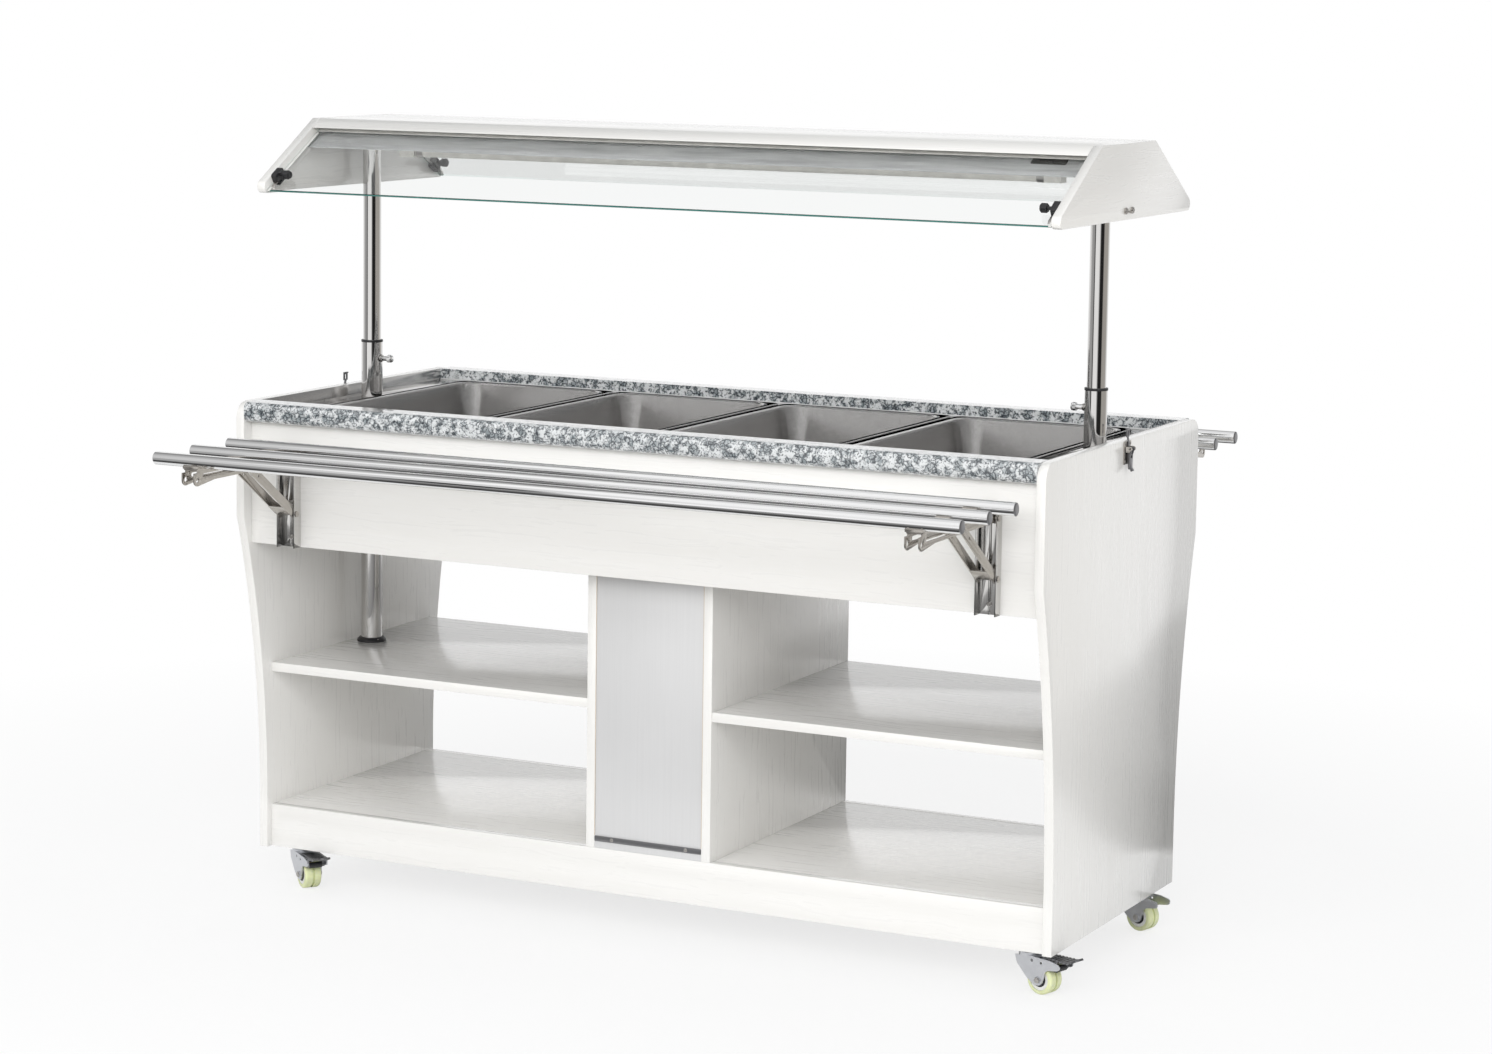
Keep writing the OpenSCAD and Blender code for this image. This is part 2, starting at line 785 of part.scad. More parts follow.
// Fixed post from the mid shelf up, with a boss for its lock plunger on the side of the middle
module outer_posts() {
    color(steel) both_ends() difference() {
        union() {
            translate([post_x, 0, 0]) tube_z(post_r, post_r - post_wall, shelf_z, post_top);
            difference() {
                rod_x(lock_boss_r, post_x - post_r - lock_boss_l, post_x, 0, lock_z);
                translate([post_x, 0, lock_z - lock_boss_r - 1])
                    cylinder(r = post_r - post_wall / 2, h = 2 * lock_boss_r + 2);
            }
        }
        rod_x(lock_r + pin_gap, post_x - post_r - lock_boss_l - 1, post_x, 0, lock_z);
    }
}

// Guide bush in the post's top and flange on the shelf
module post_fittings() {
    color(black) both_ends() translate([post_x, 0, 0]) {
        tube_z(post_r + bush_flange, bush_r, post_top, post_top + bush_t);
        tube_z(post_r - post_wall, bush_r, post_top - bush_l, post_top + 1);
        difference() {
            union() {
                translate([0, 0, shelf_z]) cylinder(r = post_r + shelf_flange_w, h = shelf_flange_t / 2);
                translate([0, 0, shelf_z + shelf_flange_t / 2])
                    cylinder(r1 = post_r + shelf_flange_w, r2 = post_r + 3, h = shelf_flange_t / 2);
            }
            translate([0, 0, shelf_z - 1]) cylinder(r = post_r, h = shelf_flange_t + 2);
        }
    }
}

module lock_plunger() {
    tip = post_x - inner_r - lock_tip_gap;
    head = post_x - post_r - lock_reach;
    color(steel) {
        rod_x(lock_r, head, tip, 0, lock_z);
        rod_x(lock_head_r, head, head + lock_head_l, 0, lock_z);
        rod_x(lock_r + 1.5, head + lock_head_l - 1, post_x - post_r - lock_boss_l - run_gap, 0, lock_z);
    }
}

module lock_plunger_left() { mirror([1, 0, 0]) lock_plunger(); }

module lock_plunger_right() { lock_plunger(); }

module inner_posts() {
    color(steel) both_ends() translate([post_x, 0, 0]) {
        tube_z(inner_r, inner_r - inner_wall, top_h - post_overlap, board_z);
        tube_z(post_cap_r, inner_r - inner_wall, board_z - post_cap_t, board_z);
    }
}

// Frame of the canopy's front slope: x runs up the slope, y stands out from it
module slope() {
    translate([-canopy_foot, canopy_z + canopy_lip]) rotate(slope_a) children();
}

// Corner arc of radius r between two edge directions, as points about its centre
function arc(centre, r, from, to, steps = 6) =
    [for (i = [0:steps]) let (a = from + (to - from) * i / steps) centre + r * [cos(a), sin(a)]];

function canopy_side() =
    let (bend = slope_a / 2 + 45, low = [canopy_foot - canopy_r, canopy_z + canopy_r],
        high = [canopy_foot - canopy_r, canopy_z + canopy_lip - canopy_r * tan((90 - slope_a) / 2)])
    concat(arc(low, canopy_r, -90, 0), arc(high, canopy_r, 0, 90 - slope_a),
        [[canopy_top_d / 2, canopy_top]]);

module canopy_ends() {
    color(laminate) both_ends() along_x(canopy_in, canopy_l / 2)
        polygon(concat(canopy_side(), flip(canopy_side())));
}

module canopy_top_board() {
    low = canopy_top_d / 2 + board_t * slope_run / slope_rise;
    color(laminate) along_x(-canopy_in, canopy_in)
        polygon([[-low, board_z], [low, board_z], [canopy_top_d / 2, canopy_top],
            [-canopy_top_d / 2, canopy_top]]);
}

// Layer that lies in the slope, from one depth to another, between two heights
module slope_layer(inset, thick, z0, z1) {
    intersection() {
        slope() translate([-slope_l, -inset - thick]) square([3 * slope_l, thick]);
        translate([-canopy_d, z0]) square([2 * canopy_d, z1 - z0]);
    }
}

// Folded steel housing: a fascia behind each pane and an underside with holes for the posts
module lamp_housing() {
    underside = canopy_foot - (house_z - canopy_z - canopy_lip) * slope_run / slope_rise
        - fascia_in / sin(slope_a);
    color(satin) difference() {
        along_x(-canopy_in, canopy_in) {
            for (side = [0, 1]) mirror([side, 0]) slope_layer(fascia_in, fascia_t, house_z, board_z);
            translate([-underside, house_z]) square([2 * underside, fascia_t]);
        }
        both_ends() translate([post_x, 0, house_z - 1]) cylinder(r = post_hole_r, h = fascia_t + 2);
    }
}

// Tube lamp in two holders that hang from the housing's underside
module lamp() {
    z = house_z - holder_drop - lamp_r;
    color("lightyellow") {
        rod_x(lamp_r, -lamp_l / 2, lamp_l / 2, 0, z);
        both_ends() block([lamp_l / 2, -holder_w, z - lamp_r], [lamp_l / 2 + holder_l, holder_w, house_z]);
    }
}

module glass_panes() {
    color(clear) front_and_back() along_x(-canopy_in + glass_end_gap, canopy_in - glass_end_gap)
        slope_layer(glass_inset, glass_t, glass_z, board_z - 0.2);
}

// Clamp block on a canopy end's inner face, slotted for the pane, with the knob's bore
module glass_clamp() {
    glass_end = canopy_in - glass_end_gap;
    difference() {
        along_x(canopy_in - clamp_t, canopy_in) difference() {
            slope() translate([clamp_s, -glass_inset - glass_t - clamp_in])
                round_block(clamp_l, glass_t + clamp_in + clamp_out, 4);
            slope() translate([clamp_s + clamp_l / 2, clamp_axis - glass_inset])
                circle(knob_stem_r + pin_gap);
        }
        along_x(canopy_in - clamp_t - 1, glass_end + clamp_slot) slope()
            translate([clamp_s - 1, -glass_inset - glass_t - clamp_slot])
                square([clamp_l + 2, glass_t + 2 * clamp_slot]);
    }
}

module round_block(l, h, r) {
    translate([l / 2, h / 2]) round_rect(l, h, r);
}

module glass_clamps() {
    color(black) for (turn = [0, 180]) rotate(turn) both_ends() glass_clamp();
}

// Lobed knob on a stem that screws into the clamp
module glass_knob(right, back) {
    inner = canopy_in - clamp_t;
    color(black) rotate(back ? 180 : 0) mirror([right ? 0 : 1, 0, 0]) {
        along_x(inner - knob_off, canopy_in - 2)
            slope() translate([clamp_s + clamp_l / 2, clamp_axis - glass_inset]) circle(knob_stem_r);
        along_x(inner - knob_off - knob_l, inner - knob_off)
            slope() translate([clamp_s + clamp_l / 2, clamp_axis - glass_inset]) knob_outline();
    }
}

module knob_outline() {
    circle(knob_r - 1.5);
    for (i = [0:knob_lobes - 1]) rotate(i * 360 / knob_lobes) translate([knob_r - 3, 0]) circle(3);
}

module glass_knob_front_left() { glass_knob(false, false); }

module glass_knob_front_right() { glass_knob(true, false); }

module glass_knob_back_left() { glass_knob(true, true); }

module glass_knob_back_right() { glass_knob(false, true); }

// Lip for the hook and two round-headed screws on each canopy end's outer face
module latch_keepers() {
    face = canopy_l / 2;
    color(steel) both_ends() {
        block([face, -hook_w, canopy_z + keeper_lip_z],
            [face + keeper_lip_out, hook_w, canopy_z + keeper_lip_z + latch_t]);
        for (y = [-keeper_pitch / 2, keeper_pitch / 2])
            rod_x(keeper_head_r, face, face + keeper_head_t, y, canopy_z + keeper_head_z);
    }
}

// Outline in outward distance and height, drawn out along Y about the middle
module latch_profile(from, to) {
    translate([body_l / 2, to, 0]) rotate([90, 0, 0]) linear_extrude(to - from) children();
}

// Plate on the end panel with two ears for the lever's rivets
module latch_bases() {
    color(satin) both_ends() {
        block([body_l / 2, -latch_w / 2, latch_foot_z],
            [body_l / 2 + latch_t, latch_w / 2, latch_foot_z + latch_h]);
        for (y = [-ear_in - ear_t, ear_in]) latch_profile(y, y + ear_t) difference() {
            union() {
                translate([lever_out, lever_z]) circle(latch_eye_r + 0.6);
                translate([latch_t - 1, lever_z - 6]) square([lever_out - latch_t + 1, 9.8]);
            }
            translate([lever_out, lever_z]) circle(latch_pin_r + pin_gap);
        }
    }
}

// Lever of two sides and a curled handle, on short rivets in the ears
module latch_lever() {
    color(steel) {
        for (y = [-lever_in - lever_t, lever_in]) latch_profile(y, y + lever_t) {
            hull() {
                translate([lever_out, lever_z]) circle(latch_eye_r);
                translate([hook_pin_out, hook_pin_z]) circle(latch_eye_r);
            }
            hull() {
                translate([hook_pin_out, hook_pin_z]) circle(latch_eye_r);
                translate([handle_out, handle_z + 4]) circle(1.5);
            }
        }
        latch_profile(-lever_in - lever_t, lever_in + lever_t)
            polygon([[handle_out, handle_z + 6], [handle_out, handle_top_z],
                [handle_out + 2, handle_top_z], [handle_out + 2, handle_z + 5],
                [handle_out + 5, handle_z], [handle_out + 3.5, handle_z - 1]]);
        for (y = [-ear_in - ear_t - 1, lever_in])
            rod_y(latch_pin_r, y, y + ear_in + ear_t + 1 - lever_in, body_l / 2 + lever_out, lever_z);
        rod_y(latch_pin_r, -lever_in - 1, lever_in + 1, body_l / 2 + hook_pin_out, hook_pin_z);
    }
}

module latch_lever_left() { mirror([1, 0, 0]) latch_lever(); }

module latch_lever_right() { latch_lever(); }

// Strip that rises from the lever's pin, widens above the panel and turns in over the keeper's lip
module latch_hook() {
    neck_z = top_h + 4;
    slot_z = (top_h + hook_top_z) / 2 + hook_slot_l / 2;
    color(steel) difference() {
        union() {
            latch_profile(-hook_w / 2, hook_w / 2) {
                translate([hook_pin_out, hook_pin_z]) circle(latch_eye_r);
                polygon([[hook_pin_out - 1, hook_pin_z + 2], [hook_pin_out + 1, hook_pin_z + 2],
                    [latch_t + 2.6, hook_pin_z + 10], [latch_t + 2.6, top_h - 4], [2.6, neck_z],
                    [2.6, neck_z + 2], [0.6, neck_z + 2], [0.6, neck_z], [latch_t + 0.6, top_h - 4],
                    [latch_t + 0.6, hook_pin_z + 10]]);
            }
            latch_profile(-hook_head_w / 2, hook_head_w / 2)
                polygon([[0.6, neck_z + 1], [2.6, neck_z + 1], [2.6, hook_top_z + hook_t],
                    [hook_reach, hook_top_z + hook_t], [hook_reach, hook_top_z], [0.6, hook_top_z]]);
        }
        rod_y(latch_pin_r + pin_gap, -hook_w, hook_w, body_l / 2 + hook_pin_out, hook_pin_z);
        for (z = [slot_z - hook_slot_l / 2, slot_z + hook_slot_l / 2])
            rod_x(hook_slot_r, body_l / 2, body_l / 2 + hook_t + 1, 0, z);
        block([body_l / 2, -hook_slot_r, slot_z - hook_slot_l / 2],
            [body_l / 2 + hook_t + 1, hook_slot_r, slot_z + hook_slot_l / 2]);
    }
}

module latch_hook_left() { mirror([1, 0, 0]) latch_hook(); }

module latch_hook_right() { latch_hook(); }

// Outline in outward distance from the front apron and height, drawn out along X
module bracket_profile(from, to) {
    along_x(from, to) translate([-face_y, 0]) mirror([1, 0]) children();
}

// The children at each of the two brackets of a side
module each_bracket() {
    for (x = [-bracket_x, bracket_x]) translate([x, 0, 0]) children();
}

// Channel on the apron: a ribbed web with screw holes and two flanges bored for the fold and brace pins
module wall_channel() {
    half = channel_w / 2;
    difference() {
        union() {
            block([-half, -face_y - channel_d, apron_z], [-half + plate_t, -face_y, channel_top]);
            block([half - plate_t, -face_y - channel_d, apron_z], [half, -face_y, channel_top]);
            block([-half, -face_y - plate_t, apron_z], [half, -face_y, channel_top]);
            translate([0, -face_y - plate_t, apron_z]) cylinder(r = channel_rib_r, h = channel_top - apron_z);
        }
        for (z = channel_screw_z)
            rod_y(channel_screw_r, -face_y - plate_t - channel_rib_r - 1, -face_y + 1, 0, z);
        block([-half, -face_y, apron_z - 1], [half, -face_y + channel_rib_r, channel_top + 1]);
        rod_x(pin_r + pin_gap, -half - 1, half + 1, -face_y - fold_out, fold_z);
        rod_x(pin_r + pin_gap, -half - 1, half + 1, -face_y - low_pin[0], low_pin[1]);
    }
}

module wall_channels() {
    color(satin) front_and_back() each_bracket() wall_channel();
}

// Tubes with plugged ends
module tray_tubes() {
    for (out = tube_outs) translate([0, -face_y - out, tube_z]) {
        difference() {
            rod_x(tube_r, -tube_l / 2, tube_l / 2, 0, 0);
            rod_x(tube_r - tube_wall, -tube_l / 2 - 1, tube_l / 2 + 1, 0, 0);
        }
        both_ends() rod_x(tube_r - tube_wall, tube_l / 2 - plug_l, tube_l / 2, 0, 0);
    }
}

module front_tray_tubes() { color(steel) tray_tubes(); }

module back_tray_tubes() { color(steel) facing(true) tray_tubes(); }

// Side of an arm about the fold pin: an eye, a shallow run that nests in the channel, a deep nose
module arm_side() {
    slot = [brace_out, slot_end];
    difference() {
        union() {
            circle(arm_eye_r);
            polygon([[0, -arm_low], [arm_taper_from, -arm_low - 1], [arm_taper_to, -arm_deep],
                [arm_end - arm_nose_r, -arm_deep], [arm_end - arm_nose_r, arm_top], [0, arm_top]]);
            translate([arm_end - arm_nose_r, -arm_deep + arm_nose_r]) circle(arm_nose_r);
            translate([arm_end - arm_nose_r - eps, -arm_deep + arm_nose_r])
                square([arm_nose_r + eps, arm_top + arm_deep - arm_nose_r - 6]);
        }
        for (a = slot) translate([a, arm_slot_b]) circle(arm_slot_r);
        translate([slot[0], arm_slot_b - arm_slot_r]) square([slot[1] - slot[0], 2 * arm_slot_r]);
        translate([arm_end - arm_nose_r, -arm_deep + arm_nose_r]) circle(arm_nose_hole_r);
    }
}

// Folding arm: two sides under a web, a riveted fold pin and a saddle under each tube
module tray_arm() {
    half = arm_w / 2;
    head = channel_w / 2 + run_gap;
    at_pin = [fold_out, fold_z];
    for (x = [-half, half - plate_t]) bracket_profile(x, x + plate_t) translate(at_pin) arm_side();
    bracket_profile(-half, half) translate(at_pin)
        translate([arm_web_start, arm_top - plate_t]) square([arm_web_l, plate_t]);
    rod_x(pin_r, -head - rivet_t, head + rivet_t, -face_y - fold_out, fold_z);
    both_ends() rod_x(rivet_r, head, head + rivet_t, -face_y - fold_out, fold_z);
    difference() {
        for (out = tube_outs) block([-saddle_w / 2, -face_y - out - saddle_l / 2, fold_z + arm_top],
            [saddle_w / 2, -face_y - out + saddle_l / 2, fold_z + arm_top + plate_t + saddle_t]);
        for (out = tube_outs) rod_x(tube_r, -saddle_w, saddle_w, -face_y - out, tube_z);
    }
}

module front_tray_arms() { color(satin) each_bracket() tray_arm(); }

module back_tray_arms() { color(satin) facing(true) each_bracket() tray_arm(); }

// Brace: two bars with a hole, joined by a plate near the lower pin, riveted at both ends
module brace() {
    inner = brace_x - plate_t - 0.5;
    head = channel_w / 2 + run_gap;
    for (x = [-brace_x, inner]) bracket_profile(x, x + brace_x - inner)
        translate(low_pin) rotate(brace_a) difference() {
            union() {
                for (s = [0, brace_l]) translate([s, 0]) circle(brace_w / 2);
                translate([0, -brace_w / 2]) square([brace_l, brace_w]);
            }
            translate([brace_l - 32, 0]) circle(2.5);
        }
    bracket_profile(-brace_x, brace_x) translate(low_pin) rotate(brace_a)
        translate([12, -brace_w / 2 - 0.5]) square([28, 1.5]);
    both_ends() {
        rod_x(pin_r, inner, head + rivet_t, -face_y - low_pin[0], low_pin[1]);
        rod_x(rivet_r, head, head + rivet_t, -face_y - low_pin[0], low_pin[1]);
        rod_x(rivet_r, brace_x, brace_x + rivet_t, -face_y - high_pin[0], high_pin[1]);
    }
}

module front_braces() { color(satin) each_bracket() brace(); }

module back_braces() { color(satin) facing(true) each_bracket() brace(); }

// The children at the caster of that number, x pointing back along its trail
module at_caster(i) {
    translate([caster_at[i][0], caster_at[i][1], 0]) rotate(caster_turn[i]) children();
}

// Top plate with four screw holes, bearing race and kingpin
module caster_plates() {
    plate_z = floor_gap - caster_plate_t;
    hole = caster_plate_w / 2 - plate_hole_in;
    color(steel) for (at = caster_at) translate([at[0], at[1], 0]) {
        translate([0, 0, plate_z]) linear_extrude(caster_plate_t) difference() {
            round_rect(caster_plate_w, caster_plate_w, 6);
            for (x = [-hole, hole], y = [-hole, hole]) translate([x, y]) circle(plate_hole_r);
        }
        translate([0, 0, plate_z - race_t]) cylinder(r = race_r, h = race_t);
        translate([0, 0, crown_z - run_gap - 2]) cylinder(r = kingpin_r, h = plate_z - crown_z);
        translate([0, 0, crown_z - run_gap - 2.2]) cylinder(r = rivet_head_r, h = 2.2);
    }
}

// Fork: bored crown, two swept cheeks and the axle
module caster_fork(i) {
    color(steel) at_caster(i) {
        difference() {
            union() {
                translate([0, 0, crown_z]) cylinder(r = crown_r, h = crown_t);
                for (y = [-cheek_in - cheek_t, cheek_in])
                    translate([0, y + cheek_t, 0]) rotate([90, 0, 0]) linear_extrude(cheek_t)
                        cheek_outline();
                block([-7, -cheek_in - cheek_t, crown_z], [24, cheek_in + cheek_t, crown_z + 2.5]);
            }
            translate([0, 0, crown_z - 1]) cylinder(r = kingpin_r + pin_gap, h = crown_t + 2);
            if (i < 2) rod_y(pedal_pin_r + pin_gap, -cheek_in - cheek_t - 1, cheek_in + cheek_t + 1,
                pedal_pin[0], pedal_pin[1]);
        }
        rod_y(axle_r, -cheek_in - cheek_t, cheek_in + cheek_t, caster_trail, wheel_r);
        for (y = [-cheek_in - cheek_t - axle_head_t, cheek_in + cheek_t])
            rod_y(axle_head_r, y, y + axle_head_t, caster_trail, wheel_r);
    }
}

// Cheek: broad under the crown, with a toe over the pedal and a leg down to the axle
module cheek_outline() {
    difference() {
        union() {
            polygon([[-18, crown_z], [-14, wheel_r + 21], [7, wheel_r], [20, wheel_r - 8],
                [caster_trail, wheel_r - 9], [37, wheel_r - 4], [42.7, wheel_r + 15], [48, wheel_r + 19],
                [65.5, wheel_r + 21.7], [65.5, crown_z - 1.2], [51.4, crown_z + 1.5],
                [15.5, crown_z + 2.8]]);
            translate([caster_trail, wheel_r]) circle(9);
            translate([65.5, wheel_r + 27.3]) circle(5.6);
        }
        translate([34.5, wheel_r + 28.7]) circle(cheek_hole_r);
    }
}

module caster_fork_front_left() { caster_fork(0); }

module caster_fork_front_right() { caster_fork(1); }

module caster_fork_back_left() { caster_fork(2); }

module caster_fork_back_right() { caster_fork(3); }

// Twin-tread wheel: half outline in radius and width, with crowned treads and a groove between
module wheel_half() {
    half = wheel_w / 2;
    bore = axle_r + pin_gap;
    difference() {
        union() {
            translate([bore, 0]) square([wheel_r - bore - tread_r, half]);
            translate([bore, 0]) square([wheel_r - bore, half - tread_r]);
            translate([wheel_r - tread_r, half - tread_r]) circle(tread_r);
        }
        translate([wheel_r - groove_d, -1]) square([groove_d + 1, groove_w / 2 + 1]);
        translate([hub_r - 5, half - hub_recess]) square([wheel_r - hub_r - 2, hub_recess + 1]);
    }
}

module caster_wheel(i) {
    color(nylon) at_caster(i) translate([caster_trail, 0, wheel_r]) rotate([90, 0, 0])
        rotate_extrude() {
            wheel_half();
            mirror([0, 1]) wheel_half();
        }
}

module caster_wheel_front_left() { caster_wheel(0); }

module caster_wheel_front_right() { caster_wheel(1); }

module caster_wheel_back_left() { caster_wheel(2); }

module caster_wheel_back_right() { caster_wheel(3); }

// Side of a brake pedal's plate: from the pins up to a level tread with a raised toe
module pedal_side() {
    low = pedal_pin[1] - pedal_t / 2;
    high = low + pedal_rise;
    polygon([[pedal_pin[0] - 4, low], [pedal_level[0] - 6, low], [pedal_level[0] + 2, high],
        [pedal_level[1], high], [pedal_l, high + 4], [pedal_l - 2, high + 7],
        [pedal_level[1] - 1, high + pedal_t], [pedal_level[0], high + pedal_t],
        [pedal_level[0] - 8, low + pedal_t], [pedal_pin[0] - 4, low + pedal_t]]);
}

// Brake pedal: a toothed tread plate on two stub pins, with a shoe bar on two hangers
module brake_pedal(i) {
    wide = cheek_in - run_gap;
    pitch = (pedal_l - pedal_level[0]) / pedal_teeth;
    high = pedal_pin[1] - pedal_t / 2 + pedal_rise;
    color(black) at_caster(i) {
        difference() {
            translate([0, wide, 0]) rotate([90, 0, 0]) linear_extrude(2 * wide) pedal_side();
            for (k = [1:pedal_teeth - 1], side = [-1, 1])
                translate([pedal_level[0] + k * pitch, side * wide, high - 1]) rotate(45)
                    block([-pedal_tooth, -pedal_tooth, 0], [pedal_tooth, pedal_tooth, 3 * pedal_t]);
            translate([pedal_l + 1, 0, high - 1]) cylinder(r = pedal_notch_r, h = 3 * pedal_t);
        }
        rod_y(pedal_pin_r, -cheek_in - cheek_t, cheek_in + cheek_t, pedal_pin[0], pedal_pin[1]);
        rod_y(shoe_bar_r, -wide, wide, shoe_bar[0], shoe_bar[1]);
        for (y = [-wide, wide - pedal_t])
            block([shoe_bar[0] - 2.5, y, shoe_bar[1]], [shoe_bar[0] + 2.5, y + pedal_t, high + 1]);
    }
}

module brake_pedal_front_left() { brake_pedal(0); }

module brake_pedal_front_right() { brake_pedal(1); }

end_panel_left();
end_panel_right();
aprons();
plinths();
floor_boards();
dividers();
mid_shelves();
service_panels();
stone_rails();
well_deck();
water_tank();
heating_element();
drain_valve();
drain_handle();
thermostat_knob();
power_switch();
cable_gland();
outer_posts();
post_fittings();
lock_plunger_left();
lock_plunger_right();
inner_posts();
canopy_ends();
canopy_top_board();
lamp_housing();
lamp();
glass_panes();
glass_clamps();
glass_knob_front_left();
glass_knob_front_right();
glass_knob_back_left();
glass_knob_back_right();
latch_keepers();
latch_bases();
latch_lever_left();
latch_lever_right();
latch_hook_left();
latch_hook_right();
gn_pan_1();
gn_pan_2();
gn_pan_3();
gn_pan_4();
wall_channels();
front_tray_tubes();
front_tray_arms();
front_braces();
back_tray_tubes();
back_tray_arms();
back_braces();
caster_plates();
caster_fork_front_left();
caster_fork_front_right();
caster_fork_back_left();
caster_fork_back_right();
caster_wheel_front_left();
caster_wheel_front_right();
caster_wheel_back_left();
caster_wheel_back_right();
brake_pedal_front_left();
brake_pedal_front_right();
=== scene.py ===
"""Dresses the heated buffet display: finishes for every solid, small fittings, studio and camera."""

import math

import bmesh
import bpy
from mathutils import Matrix, Vector


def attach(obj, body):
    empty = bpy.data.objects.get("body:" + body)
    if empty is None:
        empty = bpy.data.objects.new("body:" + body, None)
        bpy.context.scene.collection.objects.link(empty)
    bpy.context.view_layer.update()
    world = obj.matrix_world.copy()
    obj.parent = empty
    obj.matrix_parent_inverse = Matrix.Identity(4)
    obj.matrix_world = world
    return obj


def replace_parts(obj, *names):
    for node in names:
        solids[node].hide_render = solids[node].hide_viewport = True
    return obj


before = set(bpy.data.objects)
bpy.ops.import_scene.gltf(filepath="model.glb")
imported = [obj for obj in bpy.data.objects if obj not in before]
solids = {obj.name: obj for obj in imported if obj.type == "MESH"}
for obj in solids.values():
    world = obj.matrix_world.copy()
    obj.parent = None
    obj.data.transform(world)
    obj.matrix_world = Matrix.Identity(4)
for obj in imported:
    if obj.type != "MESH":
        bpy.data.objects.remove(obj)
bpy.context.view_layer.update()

# Sizes are in millimetres, from the floor and the middle of the cabinet, unless a comment says otherwise
MM = 0.001
APRON_Y = 327
DECK_Z, RIM_Z = 850, 855.0
STONE_INNER_X, STONE_INNER_Y = 731, 298
PAN_PITCH = 334
DUCT_PANEL_Y, DUCT_STRIP_Z = 267, 164.5
POST_X, LOCK_Z = 695, 919
DIAL_X, DIAL_Z, DIAL_R = 39.75, 520, 27
SLOPE = math.atan2(106, 174)
CANOPY_FOOT, CANOPY_BEND_Z = 296, 1246
PANE_OFF = -14.9
WELD_GAP = 0.000005  # metres
QUARTER = math.radians(90)
SIDES = ((-1, "front"), (1, "back"))
ENDS = ((-1, "left"), (1, "right"))


# Materials

def add(tree, kind, links=None, **values):
    """A node with its properties or input values set, and its inputs linked from sockets."""
    node = tree.nodes.new(kind)
    for name, value in values.items():
        if hasattr(node, name) and name != "Scale":
            setattr(node, name, value)
        else:
            node.inputs[name.replace("_", " ")].default_value = value
    for name, socket in (links or {}).items():
        tree.links.new(socket, node.inputs[name])
    return node


def math_node(tree, operation, a, b=None, c=None):
    """Sum, product or other figure of two or three sockets or numbers, as a socket."""
    node = tree.nodes.new("ShaderNodeMath")
    node.operation = operation
    for i, value in enumerate((a, b, c)):
        if value is None:
            continue
        if isinstance(value, (int, float)):
            node.inputs[i].default_value = value
        else:
            tree.links.new(value, node.inputs[i])
    return node.outputs[0]


def vector_node(tree, operation, a, b, c=None):
    """Product or sum of vectors, each a socket or three numbers, as a socket."""
    node = tree.nodes.new("ShaderNodeVectorMath")
    node.operation = operation
    for i, value in enumerate((a, b, c)):
        if isinstance(value, tuple):
            node.inputs[i].default_value = value
        elif value is not None:
            tree.links.new(value, node.inputs[i])
    return node.outputs[0]


def ramp(tree, factor, stops):
    """Greys or colours along a factor, as a colour socket."""
    node = tree.nodes.new("ShaderNodeValToRGB")
    tree.links.new(factor, node.inputs[0])
    band = node.color_ramp
    while len(band.elements) < len(stops):
        band.elements.new(0.5)
    for element, (at, colour) in zip(band.elements, stops):
        element.position = at
        if isinstance(colour, (int, float)):
            colour = (colour, colour, colour)
        element.color = (*colour, 1)
    return node.outputs[0]


def blend_colour(tree, factor, a, b):
    """One colour turning into another, as a colour socket."""
    node = tree.nodes.new("ShaderNodeMix")
    node.data_type = "RGBA"
    for socket, value in ((node.inputs[0], factor), (node.inputs[6], a), (node.inputs[7], b)):
        if isinstance(value, bpy.types.NodeSocket):
            tree.links.new(value, socket)
        elif isinstance(value, (int, float)):
            socket.default_value = value
        else:
            socket.default_value = (*value, 1)
    return node.outputs[2]


def new_group(name, inputs, outputs):
    """An empty shader group with named sockets; returns the group, its input node and its output node."""
    group = bpy.data.node_groups.new(name, "ShaderNodeTree")
    for label, kind, value in inputs:
        socket = group.interface.new_socket(label, in_out="INPUT", socket_type=kind)
        if value is not None:
            socket.default_value = value
    for label, kind in outputs:
        group.interface.new_socket(label, in_out="OUTPUT", socket_type=kind)
    return group, group.nodes.new("NodeGroupInput"), group.nodes.new("NodeGroupOutput")


SURFACE = [("Color", "NodeSocketColor"), ("Roughness", "NodeSocketFloat"), ("Height", "NodeSocketFloat")]


